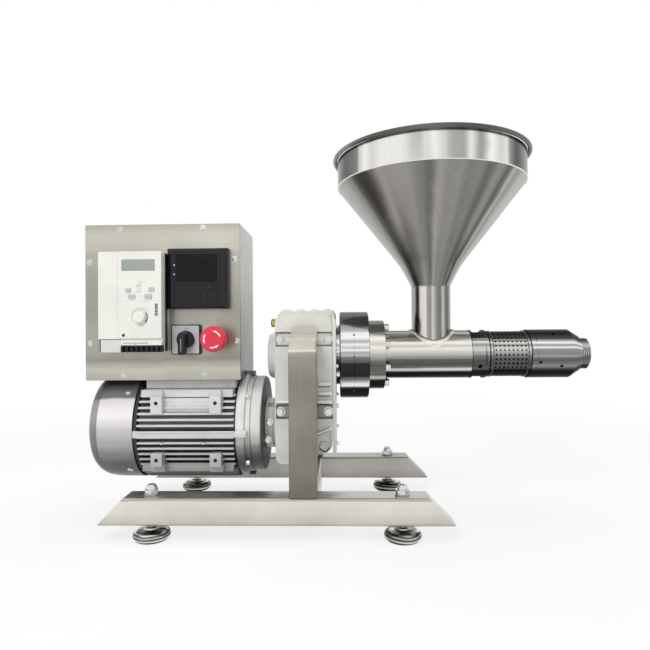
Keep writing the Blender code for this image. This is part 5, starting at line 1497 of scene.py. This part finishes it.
    def fan_cover(self) -> None:
        """The pressed cowl with its rounded end, air slots and screws."""
        drum = mm(88, -327, 88, -360, 87.2, -374, 85.5, -383.8, 84, -383.8, 85.7, -373.8, 86.5, -360, 86.5, -327)
        cowl = turned("fan_cowl", drum, Axis.X, MOTOR, 128, ring=True)
        cut(cowl, block("flat", (-0.45, -0.1, 0.2277), (-0.3, 0.1, 0.3)))
        lid = soft_block("lid", (-0.383, -0.039, 0.2262), (-0.3275, 0.039, 0.2276), 0.0004, 1)
        self.hand_over(joined("fan_cowl", [finished(cowl, angle=30.0), lid]), "cowl_paint", "fan_cover")
        end = turned("cowl_end", mm(0, -402.5, 64, -402.5, 70, -402, 76.2, -399, 81, -393.5, 84, -387.5, 85.4, -384,
            84, -384, 82.6, -387, 79.7, -392.7, 75.2, -397.8, 69.5, -400.6, 64, -401, 0, -401), Axis.X, MOTOR, 128)
        slot = soft_block("slot", (-0.41, -0.0022, 0.02), (-0.395, 0.0022, 0.06), 0.0018, 2)
        cut(end, around(slot, MOTOR, [18.0 * k for k in range(20)], "slots"))
        cut(end, block("flat", (-0.45, -0.1, 0.2277), (-0.3, 0.1, 0.3)))
        # The rounded end in a darker copy of the cowl's paint, with the same painted shade bands.
        self.hand_over(finished(end, angle=30.0), "cowl_end_paint")
        places = [about(MOTOR, "X", angle) @ looking((-0.3405, 0.0, MOTOR[2] + 0.088), Facing.UP, 20.0)
            for angle in (48.0, 138.0, 222.0, 312.0)]
        self.fasten(Fasteners.cross_screw(0.0036), places, "cowl_screws")

    def build(self) -> None:
        """Make the motor's visible pieces."""
        self.body()
        self.shields()
        self.fan_cover()


@dataclass
class ControlBox(Assembly):
    """The sheet-steel box with its screwed front panel, on its pedestal."""

    low: Point = (-0.41, -0.0635, 0.228)
    high: Point = (-0.16, 0.0603, 0.478)
    panel_front: float = -0.0653

    def build(self) -> None:
        """Make pedestal, shell, panel and screws."""
        pedestal = block("pedestal_casting", (-0.3165, -0.056, 0.2143), (-0.169, 0.056, 0.2277))
        round_edges(pedestal, 0.005, 4, along(2))
        ribs = [soft_block("rib", (x - 0.002, -0.0572, 0.2143), (x + 0.002, 0.0572, 0.2276), 0.0006)
            for x in (-0.2765, -0.185)]
        self.hand_over(joined("pedestal_casting", [finished(pedestal, 0.001), *ribs]), "motor_paint", "box_pedestal")
        shell = block("box_shell", self.low, self.high)
        round_edges(shell, 0.0022, 4, along(1))
        sheet = 0.0015
        inside = block("inside", tuple(value + sheet for value in self.low),
            tuple(value - sheet for value in self.high))
        lip = 0.018
        window = block("window", (self.low[0] + lip, self.low[1] - 0.01, self.low[2] + lip), (self.high[0] - lip,
            self.low[1] + 0.02, self.high[2] - lip))
        cut(shell, inside, window)
        self.hand_over(finished(shell, 0.0007, 2), "shell_brushed", "control_box")
        self.panel()

    def panel(self) -> None:
        """The front panel, cut out for what sits in it, and its eight screws."""
        inset = 0.0004
        panel = block("panel_sheet",
            (self.low[0] + inset, self.panel_front, self.low[2] + inset),
            (self.high[0] - inset, self.low[1] - 0.0003, self.high[2] - inset))
        round_edges(panel, 0.002, 4, along(1))
        front, back = self.panel_front - 0.01, self.low[1] + 0.01
        tools = [
            block("drive_window", (-0.3733, front, 0.2752), (-0.2756, back, 0.4288)),
            block("controller_window", (-0.271, front, 0.344), (-0.179, back, 0.434)),
            rod("selector_hole", 0.011, Axis.Y, (-0.246, 0.0, 0.2929), front, back),
            rod("stop_hole", 0.0113, Axis.Y, (-0.1937, 0.0, 0.2938), front, back)]
        cut(panel, joined("windows", tools))
        self.hand_over(finished(panel, 0.0005, 2), "panel_brushed", "front_panel")
        places = mm(-352.1, 469.4, -219.4, 470.4, -402, 417.5, -168.6, 420, -401, 288, -166.5, 290.8, -347.2, 237.1,
            -217.6, 238.6)
        screws = [looking((x, self.panel_front, z), Facing.OPERATOR, 25.0 * number)
            for number, (x, z) in enumerate(places)]
        self.fasten(Fasteners.cross_screw(0.004), screws, "panel_screws")


@dataclass
class Drive(Assembly):
    """The compact speed drive let into the panel."""

    cover_front: float = -0.1005
    dial: Point = (-0.308, -0.1005, 0.3281)

    def body(self) -> None:
        """The case with its side strip, seam and terminal recess."""
        body = block("drive_case", (-0.3745, -0.097, 0.2742), (-0.2745, -0.0656, 0.43))
        round_edges(body, 0.003, 4, along(1))
        tools = [
            block("recess", (-0.3395, -0.11, 0.273), (-0.27, -0.085, 0.2905)),
            block("seam", (-0.3434, -0.11, 0.291), (-0.3424, -0.095, 0.44)),
            block("step", (-0.4, -0.11, 0.27), (-0.3395, -0.0935, 0.2948)),
            block("slot_left", (-0.376, -0.11, 0.2735), (-0.3722, -0.072, 0.2948))]
        cut(body, *tools)
        back = block("drive_back", (-0.3725, -0.066, 0.276), (-0.2765, 0.03, 0.428))
        parts = [finished(body, 0.0006, 2, angle=30.0), finished(back, 0.001)]
        self.hand_over(joined("drive_case", parts), "drive_plastic", "drive_body")
        flap = soft_block("drive_flap", (-0.3716, -0.0955, 0.2745), (-0.3392, -0.093, 0.294), 0.0006)
        self.hand_over(flap, "strip_plastic")
        strip = soft_block("terminal_strip", (-0.3385, -0.0982, 0.285), (-0.2756, -0.0852, 0.2925), 0.0005)
        self.hand_over(strip, "drive_plastic")
        first, pitch = -0.335, 0.0026
        ticks = [soft_block("tick", (x, -0.0984, 0.2872), (x + 0.0012, -0.0981, 0.2896), 0.0001, 1) for x in (first
            + pitch * number for number in range(15))]
        self.hand_over(joined("terminal_ticks", ticks), "mark_grey")
        # Black strips in the case's gaps: painted shadow.
        gaps = (((-0.2751, -0.085, 0.2752), (-0.2738, -0.074, 0.4285)), ((-0.3742, -0.0932, 0.2752),
            (-0.3716, -0.08, 0.2945)), ((-0.3742, -0.0945, 0.294), (-0.3392, -0.08, 0.2956)))
        made = [soft_block("gap", low, high, 0.0003, 1) for low, high in gaps]
        self.hand_over(joined("case_gaps", made), "black_plastic")
        earth = soft_block("earth_clip", (-0.318, -0.099, 0.2842), (-0.315, -0.095, 0.2862), 0.0004)
        self.hand_over(earth, "terminal_green")

    def comb(self) -> None:
        """The black terminal comb, with the clamp openings between its teeth."""
        comb = block("terminal_comb", (-0.339, -0.0985, 0.2745), (-0.276, -0.0853, 0.2845))
        tooth = block("gap", (0.0, -0.11, 0.27), (0.004, -0.093, 0.283))
        cut(comb, spread(tooth, [Matrix.Translation((-0.336 + number * 0.0078, 0.0, 0.0)) for number in range(8)],
            "gaps"))
        self.hand_over(finished(comb, 0.0003, 1), "black_plastic", "terminal_block")

    def cover(self) -> None:
        """The cover with its recesses, key openings, lines and side slot, and the pins in that slot."""
        low, high = (-0.3418, self.cover_front, 0.296), (-0.2751, -0.0973, 0.4294)
        cover = block("drive_face", low, high)
        round_edges(cover, 0.0028, 4, along(1))
        front = self.cover_front
        display = block("display_recess", (-0.3365, -0.11, 0.3995), (-0.2848, front + 0.0014, 0.417))
        round_edges(display, 0.001, 2, along(1))
        line = block("line", (-0.342, -0.11, 0.3527), (-0.2745, front + 0.0005, 0.3533))
        top_line = block("top_line", (-0.342, -0.11, 0.4252), (-0.29, front + 0.0004, 0.4256))
        ring = rod("dial_recess", 0.0132, Axis.Y, self.dial, -0.01, 0.0013, 64)
        cut(cover, display, line, top_line, ring)
        openings = []
        for _, x, z, half_x, half_z in self.key_rows():
            opening = block("opening", (x - half_x - 0.0002, -0.11, z - half_z - 0.0002), (x + half_x + 0.0002, -0.09,
                z + half_z + 0.0002))
            round_edges(opening, half_z * 0.6 + 0.0001, 5, along(1))
            openings.append(opening)
        slot = block("side_slot", (-0.2852, -0.11, 0.33), (-0.2806, front + 0.002, 0.349))
        cut(cover, joined("openings", openings), slot)
        self.hand_over(finished(cover, 0.0005, 2, angle=30.0), "drive_plastic", "drive_cover")
        pins = [soft_block("pin", (-0.2846, front + 0.0008, z), (-0.2812, front + 0.0024, z + 0.0034), 0.0003, 1)
            for z in (0.3308, 0.3358, 0.3408, 0.345)]
        self.hand_over(joined("port_pins", pins), "mark_grey")

    def display(self) -> None:
        """The grey-green display with a strip of painted shadow along its top."""
        front = self.cover_front + 0.0013
        glass = soft_block("display_glass", (-0.3362, front - 0.0006, 0.3998), (-0.2851, front + 0.0006, 0.4167),
            0.0004)
        self.hand_over(glass, "display_glass")
        shade = soft_block("display_shade", (-0.336, front - 0.0008, 0.4148), (-0.2853, front - 0.0005, 0.4166),
            0.0001, 1)
        self.hand_over(shade, "display_frame")

    @staticmethod
    def key_rows() -> tuple[tuple[str, float, float, float, float], ...]:
        """Name, place and half sizes of each key."""
        return (("up", -0.3105, 0.3797, 0.004, 0.003), ("down", -0.3105, 0.3705, 0.004, 0.003),
            ("local", -0.3263, 0.3695, 0.0045, 0.003), ("menu", -0.2903, 0.3705, 0.0045, 0.003),
            ("stop", -0.3208, 0.3596, 0.0058, 0.0034), ("start", -0.2955, 0.3598, 0.0058, 0.0034))

    def keys(self) -> None:
        """The six keys, each a low cushion with a generic mark."""
        for name, x, z, half_x, half_z in self.key_rows():
            key = block(f"key_{name}", (x - half_x, self.cover_front - 0.0012, z - half_z),
                (x + half_x, -0.0981, z + half_z))
            round_edges(key, half_z * 0.6, 5, along(1))
            finish = "drive_plastic" if name in ("up", "down") else "key_plastic"
            self.hand_over(finished(key, 0.0005, 3), finish, f"drive_key_{name}", body=f"drive_key_{name}",
                slot="grey_plastic")
            if name in ("up", "down"):
                mark = turned(f"mark_{name}", mm(0, 0, 1.1, 0, 1.1, 0.2, 0, 0.2), Axis.Y, ORIGIN, 3)
                turn = 90.0 if name == "up" else -90.0
                mark.data.transform(Matrix.Translation((x, self.cover_front - 0.0013, z))
                    @ Matrix.Rotation(math.radians(turn - 90.0), 4, "Y"))
            else:
                mark = soft_block(f"mark_{name}", (x - half_x * 0.45, self.cover_front - 0.0013, z - 0.0003), (x
                    + half_x * 0.45, self.cover_front - 0.0011, z + 0.0003), 0.00005, 1)
            self.hand_over(mark, "mark_grey", body=f"drive_key_{name}")

    def knob(self) -> None:
        """The speed dial in its pale ring, with a black arc and a pale scale arc beside it."""
        x, y, z = self.dial
        dial = turned("speed_dial", mm(0, 1.2, 8.6, 1.2, 8.6, -4, 8.3, -5.2, 7.5, -5.9, 6, -6, 0, -6), Axis.Y,
            self.dial, 64)
        pointer = soft_block("pointer", (x - 0.0007, y - 0.0065, z - 0.0076), (x + 0.0007, y - 0.0052, z - 0.001),
            0.0003)
        self.hand_over(joined("speed_dial", [finished(dial, angle=40.0), pointer]), "drive_plastic", "drive_dial",
            body="drive_dial")
        for name, radius, width, start, end, finish in (("dial_arc", 0.0108, 0.0016, -45.0, 42.0, "black_plastic"),
                ("dial_scale", 0.015, 0.0012, 40.0, 150.0, "strip_plastic")):
            front = y + (0.0013 if radius < 0.013 else 0.0)
            item = arc_mark(name, (x, front, z), radius, width, start, end)
            self.hand_over(item, finish, slot="grey_plastic")
        screw = looking((-0.3338, self.cover_front, 0.3007), Facing.OPERATOR, 30.0)
        self.fasten(Fasteners.cross_screw(0.0019), [screw], "cover_screw", "dark_steel")

    def build(self) -> None:
        """Make the drive."""
        self.body()
        self.comb()
        self.cover()
        self.display()
        self.keys()
        self.knob()


def arc_mark(name: str, centre: Point, radius: float, width: float, start: float, end: float) -> Item:
    """A thin raised mark along an arc on a face that looks at the operator.

    Args:
        name: what the piece is called.
        centre: middle of the arc, on the face.
        radius: of its middle line.
        width: of the mark.
        start: first angle in degrees, from the right, upwards.
        end: last angle.

    Returns:
        The new object.
    """
    bpy.ops.object.select_all(action="DESELECT")
    reach = math.radians(start)
    bpy.ops.mesh.primitive_cube_add(size=1.0, location=(radius, 0.0, 0.0), scale=(width, 0.0003, 0.00001))
    item = named(name)
    pick_faces(item, Facing.UP.value)
    steps = max(6, int((end - start) / 4.0))
    bpy.ops.mesh.spin(steps=steps, angle=math.radians(end - start), center=ORIGIN, axis=(0.0, 1.0, 0.0))
    bpy.ops.mesh.select_all(action="SELECT")
    bpy.ops.mesh.remove_doubles(threshold=0.000002)
    bpy.ops.mesh.normals_make_consistent(inside=False)
    end_edit()
    item.data.transform(Matrix.Translation(centre) @ Matrix.Rotation(-reach, 4, "Y"))
    return finished(item)


@dataclass
class Controller(Assembly):
    """The temperature controller: bezel, dark window and keys."""

    front: float = -0.08

    def build(self) -> None:
        """Make the bezel, window, indicators and keys."""
        left, low, right, high = -0.2728, 0.3415, -0.1768, 0.4365
        case = block("controller_bezel", (left, self.front, low), (right, -0.0656, high))
        pick_faces(case, Facing.OPERATOR.value)
        bpy.ops.mesh.inset(thickness=0.0062, depth=0.0)
        bpy.ops.transform.resize(value=(1.0, 1.0, 1.06), center_override=((left + right) / 2.0, self.front,
            (low + high) / 2.0))
        end_edit()
        move_points(case, lambda p: p.y < self.front + 0.001 and (p.x < left + 0.001 or p.x > right - 0.001
            or p.z < low + 0.001 or p.z > high - 0.001), (0.0, 0.0028, 0.0))
        cut(case, block("pocket", (left + 0.012, -0.09, low + 0.0055), (right - 0.012, self.front + 0.0013, high
            - 0.0045)))
        back = soft_block("case_back", (left + 0.0023, -0.067, low + 0.003), (right - 0.0027, 0.005, high - 0.003),
            0.001)
        self.hand_over(joined("controller_bezel", [finished(case, 0.0005, 2, angle=12.0), back]), "bezel_plastic",
            "temperature_controller")
        window = block("controller_window_glass", (left + 0.0122, self.front + 0.0004, low + 0.0057), (right - 0.0122,
            self.front + 0.0013, high - 0.0047))
        openings = [block("key_opening", (x - 0.0046, -0.09, z - 0.0031), (x + 0.0046, -0.07, z + 0.0031))
            for _, x, z in self.keys()]
        cut(window, joined("openings", openings))
        self.hand_over(finished(window, 0.0002, 1), "window_gloss")
        display = soft_block("display_field", (-0.2585, self.front + 0.0001, 0.3835),
            (-0.1935, self.front + 0.0006, 0.4275), 0.0003)
        self.hand_over(display, "display_dark")
        lamps = [soft_block("lamp", (-0.2628, self.front - 0.0001, z), (-0.26, self.front + 0.0005, z + 0.0014),
            0.0002, 1) for z in (0.4095, 0.395)]
        self.hand_over(joined("indicator_marks", lamps), "white_mark")
        for name, x, z in self.keys():
            key = block(f"cap_{name}", (x - 0.0041, self.front - 0.0008, z - 0.0026),
                (x + 0.0041, self.front + 0.0018, z + 0.0026))
            round_edges(key, 0.0014, 4, along(1))
            self.hand_over(finished(key, 0.0004, 2), "key_black", f"controller_key_{name}",
                body=f"controller_key_{name}")

    @staticmethod
    def keys() -> tuple[tuple[str, float, float], ...]:
        """Name and place of each key."""
        return ("set", -0.2056, 0.3764), ("shift", -0.2132, 0.3611), ("raise", -0.1984, 0.361)


@dataclass
class Selector(Assembly):
    """The cam switch with its plate and pistol-grip knob."""

    x: float = -0.246
    front: float = -0.07
    z: float = 0.2929
    half: float = 0.0238

    def build(self) -> None:
        """Make escutcheon, plate, marks and knob."""
        x, z, half = self.x, self.z, self.half
        frame_piece = block("switch_frame", (x - half, self.front, z - half), (x + half, -0.0656, z + half))
        round_edges(frame_piece, 0.0032, 5, along(1))
        cut(frame_piece, rod("seat", 0.0042, Axis.Y, (x, 0.0, z), -0.09, -0.06))
        stem = rod("stem", 0.0105, Axis.Y, (x, 0.0, z), -0.0657, -0.056)
        cut(stem, rod("seat", 0.0042, Axis.Y, (x, 0.0, z), -0.09, -0.06))
        cells = soft_block("cells", (x - 0.021, -0.058, z - 0.021), (x + 0.021, -0.02, z + 0.021), 0.001)
        self.hand_over(joined("switch_frame", [finished(frame_piece, 0.0006, 2), stem, cells]), "black_plastic",
            "selector_body")
        plate = block("switch_plate", (x - half + 0.0016, self.front - 0.0006, z - half + 0.0016), (x + half - 0.003,
            self.front + 0.0002, z + half - 0.0016))
        round_edges(plate, 0.002, 4, along(1))
        cut(plate, rod("hole", 0.0043, Axis.Y, (x, 0.0, z), -0.09, -0.06))
        self.hand_over(finished(plate, 0.0002, 1), "plate_grey")
        self.marks()
        self.knob()

    def marks(self) -> None:
        """A 0 over the knob and a 1 on each side of it."""
        made = []
        for sign, mark_x, mark_z in (("0", self.x - 0.0004, self.z + 0.017), ("1", self.x + 0.016, self.z + 0.0055),
                ("1", self.x - 0.0165, self.z + 0.0055)):
            bpy.ops.object.select_all(action="DESELECT")
            bpy.ops.object.text_add(location=(mark_x, self.front - 0.0006, mark_z),
                rotation=(math.pi / 2.0, 0.0, 0.0))
            text = bpy.context.object
            text.data.body = sign
            text.data.size = 0.0052
            text.data.extrude = 0.0001
            text.data.align_x = text.data.align_y = "CENTER"
            bpy.ops.object.convert(target="MESH")
            made.append(named("mark"))
        self.hand_over(joined("switch_marks", made), "mark_grey")

    def knob(self) -> None:
        """A round skirt with a grip that narrows upwards and overhangs the plate below."""
        x, z = self.x, self.z
        skirt = turned("skirt", mm(0, -0.7, 13.8, -0.7, 14, -1.2, 13.6, -6, 12, -7.5, 0, -7.8), Axis.Y,
            (x, self.front, z), 64)
        grip = block("grip", (x - 0.0068, self.front - 0.025, z - 0.0235),
            (x + 0.0052, self.front - 0.004, z + 0.0125))
        move_points(grip, lambda p: p.z > z and p.y < self.front - 0.02, (0.0, 0.003, -0.002))
        move_points(grip, lambda p: p.z < z and p.y > self.front - 0.01, (0.0, -0.005, 0.0))
        move_points(grip, lambda p: p.z < z and p.x > x, (-0.0005, 0.0, 0.0))
        round_edges(grip, 0.0032, 4, lambda a, b: (b - a).length > 0.0)
        shaft = rod("shaft", 0.0038, Axis.Y, (x, 0.0, z), -0.072, -0.061)
        parts = [finished(skirt, angle=40.0), finished(grip, angle=50.0), shaft]
        self.hand_over(joined("switch_knob", parts), "black_plastic", "selector_knob", body="selector_knob")
        line = soft_block("knob_line", (x - 0.0013, self.front - 0.0252, z - 0.018),
            (x - 0.0005, self.front - 0.0249, z + 0.002), 0.00005, 1)
        self.hand_over(line, "plate_grey", body="selector_knob")


@dataclass
class StopButton(Assembly):
    """The emergency stop: collar, stem and red mushroom with its turning arrows."""

    x: float = -0.1937
    z: float = 0.2938

    def build(self) -> None:
        """Make collar, stem, mushroom and arrows."""
        centre = (self.x, 0.0, self.z)
        collar = turned("stop_ring", mm(8.2, -76, 12.8, -76, 13.8, -75.6, 15, -73.5, 15.2, -72.5, 15.2, -65.6, 10.9,
            -65.6, 10.9, 0, 8.2, 0), Axis.Y, centre, 72, ring=True)
        self.hand_over(finished(collar, angle=35.0), "collar_red", "stop_collar")
        stem = turned("stop_shank", mm(0, -95, 7.8, -95, 7.8, -13, 6.8, -10, 0, -10), Axis.Y, centre, 48)
        self.hand_over(finished(stem, angle=35.0), "red_plastic", "stop_stem", body="stop_stem")
        cap = mm(0, -95.3, 11.5, -95.3, 12.4, -96, 13.4, -98.5, 16, -100.4, 18.6, -102, 19.7, -103.4, 20, -105.2,
            19.9, -108, 19.4, -110.4, 18.4, -112.4, 16.8, -113.8, 14, -114.8, 10, -115.4, 5, -115.7, 0, -115.8)
        mushroom = turned("stop_mushroom", cap, Axis.Y, centre, 96)
        self.hand_over(finished(mushroom, angle=40.0), "red_plastic", "stop_button", body="stop_button")
        arrows = [self.arrow(start) for start in (20.0, 145.0, 255.0)]
        self.hand_over(joined("stop_arrows", arrows), "white_mark", body="stop_button", slot="red_plastic")

    def arrow(self, start: float) -> Item:
        """One curved arrow that lies on the mushroom's crown."""
        item = arc_mark("arrow", (self.x, 0.0, self.z), 0.0125, 0.002, start, start + 62.0)
        shape = begin_edit(item, "VERT")
        for corner in shape.verts:
            dx, dz = corner.co.x - self.x, corner.co.z - self.z
            reach = math.hypot(dx, dz)
            angle = math.degrees(math.atan2(dz, dx)) % 360.0
            share = ((angle - start) % 360.0) / 62.0
            width = 1.9 * (1.0 - share) / 0.3 if 1.0 >= share > 0.72 else 1.0
            reach = 0.0125 + (reach - 0.0125) * max(0.05, min(width, 2.0))
            crown = -0.1148 - 0.0009 * (1.0 - (reach / 0.014) ** 2)
            front = corner.co.y < 0.0
            corner.co.x = self.x + reach * math.cos(math.radians(angle))
            corner.co.z = self.z + reach * math.sin(math.radians(angle))
            corner.co.y = crown - (0.00025 if front else -0.0003)
        bmesh.update_edit_mesh(item.data)
        end_edit()
        return item


@dataclass
class InnerWorks(Assembly):
    """Finishes for the nodes inside the machine, which keep their own shapes."""

    def build(self) -> None:
        """Give each inner node its finish."""
        rows = {"machined_steel": ("drive_pinion", "counter_wheel", "countershaft", "output_shaft", "motor_rotor"),
            "bright_steel": ("output_bearing_rear", "output_bearing_front"), "screw_steel": ("press_screw",),
            "fan_plastic": ("cooling_fan",)}
        for finish, nodes in rows.items():
            for node in nodes:
                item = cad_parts[node]
                item.data.materials.clear()
                item.data.materials.append(self.finishes[finish])
                log.info("%s keeps its shape, in %s", node, finish)


@dataclass
class Studio:
    """Floor, lights, world and camera."""

    focal: float = 533.37
    frame_pixels: float = 650.0
    sensor: float = 36.0
    place: Point = (-0.00277, -0.90952, 0.30726)
    turn: tuple[float, float, float] = (-1.55, 0.47, 0.45)

    @staticmethod
    def seen(bench: Bench) -> Signal:
        """1 for a ray that is seen, mirrored or passed on, and 0 for one that only lights."""
        ray = bench.add("ShaderNodeLightPath")
        for kind in ("Is Glossy Ray", "Is Transmission Ray"):
            ray = ray.maths("MAXIMUM", Signal(bench, bench.tree.nodes["Light Path"].outputs[kind]))
        return ray

    def floor(self) -> None:
        """A wide pale floor that keeps the shadow near the machine."""
        bpy.ops.object.select_all(action="DESELECT")
        bpy.ops.mesh.primitive_circle_add(vertices=96, radius=8.0, fill_type="NGON", location=(0.0, 0.0, -0.0002))
        floor = named("studio_floor")
        material, bench = fresh_material("studio_floor")
        x, y, _ = bench.axes()
        reach = (x * x + y * y).maths("SQRT")
        grain = bench.noise((60.0, 60.0, 60.0), 2.0)
        tint = grain.mix(colour(0.84, 0.84, 0.83), colour(0.86, 0.86, 0.86))
        lit = bench.add("ShaderNodeBsdfDiffuse", {}, {"Color": tint})
        white = bench.add("ShaderNodeEmission", {}, {"Color": colour(1.0, 1.0, 1.0), "Strength": 1.0})
        share = self.seen(bench) * (0.78 + reach.band(0.5, 1.8) * 0.22)
        mixed = bench.add("ShaderNodeMixShader", {}, {0: share, 1: lit, 2: white})
        bench.add("ShaderNodeOutputMaterial", {}, {0: mixed})
        floor.data.materials.append(material)

    def world(self) -> None:
        """A plain world: white where it is seen or mirrored, softer as light."""
        world = bpy.data.worlds.new("studio")
        bpy.context.scene.world = world
        world.use_nodes = True
        bench = Bench(world.node_tree)
        soft = bench.add("ShaderNodeBackground", {}, {0: colour(1.0, 1.0, 1.0), 1: 0.36})
        white = bench.add("ShaderNodeBackground", {}, {0: colour(1.0, 1.0, 1.0), 1: 1.0})
        mixed = bench.add("ShaderNodeMixShader", {}, {0: self.seen(bench), 1: soft, 2: white})
        bench.add("ShaderNodeOutputWorld", {}, {0: mixed})

    def lights(self) -> None:
        """A large key from the upper left, a fill from the right and a soft top light."""
        rows = (("key", (-0.9, -1.7, 1.9), 1.1, 34.0, False), ("fill", (1.7, -1.6, 0.6), 1.6, 7.0, False),
            ("top", (0.1, 0.1, 2.2), 1.4, 20.0, False), ("back", (0.4, 1.8, 1.4), 1.2, 8.0, False), ("sparkle",
            (-0.7, -2.2, 1.0), 0.5, 0.5, True))
        for name, place, size, power, mirrored in rows:
            bpy.ops.object.light_add(type="AREA", location=place)
            lamp = bpy.context.object
            lamp.name = lamp.data.name = f"{name}_light"
            lamp.data.shape = "DISK"
            lamp.data.size = size
            lamp.data.energy = power
            lamp.visible_glossy = mirrored
            way = Vector((-0.02, 0.0, 0.28)) - Vector(place)
            lamp.rotation_euler = way.to_track_quat("-Z", "Y").to_euler()

    def camera(self) -> None:
        """The camera at the photograph's place and angle."""
        yaw, pitch, roll = (math.radians(value) for value in self.turn)
        lens = bpy.data.cameras.new("camera")
        lens.sensor_width = self.sensor
        lens.lens = self.focal * self.sensor / self.frame_pixels
        lens.clip_start = 0.01
        camera = bpy.data.objects.new("camera", lens)
        bpy.context.scene.collection.objects.link(camera)
        swing = (Matrix.Rotation(roll, 3, "Z") @ Matrix.Rotation(pitch, 3, "X") @ Matrix.Rotation(yaw, 3, "Y"))
        base = Matrix(((1.0, 0.0, 0.0), (0.0, 0.0, 1.0), (0.0, -1.0, 0.0)))
        view = base @ swing
        flip = Matrix(((1.0, 0.0, 0.0), (0.0, -1.0, 0.0), (0.0, 0.0, -1.0)))
        camera.matrix_world = Matrix.Translation(self.place) @ (view @ flip).to_4x4()
        bpy.context.scene.camera = camera

    def build(self) -> None:
        """Set up the studio."""
        bpy.context.scene.view_settings.view_transform = "Standard"
        self.floor()
        self.world()
        self.lights()
        self.camera()


def main() -> None:
    """Build every sub-assembly in order."""
    logging.basicConfig(level=logging.INFO, format="%(name)s: %(message)s")
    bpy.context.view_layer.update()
    finishes = Finishes()
    Studio().build()
    for kind in (Frame, Feet, Gearbox, PressLine, Hopper, Motor, ControlBox, Drive, Controller, Selector, StopButton,
            InnerWorks):
        log.info("building %s", kind.__name__)
        kind(finishes).build()
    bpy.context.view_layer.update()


if __name__ == "__main__":
    main()
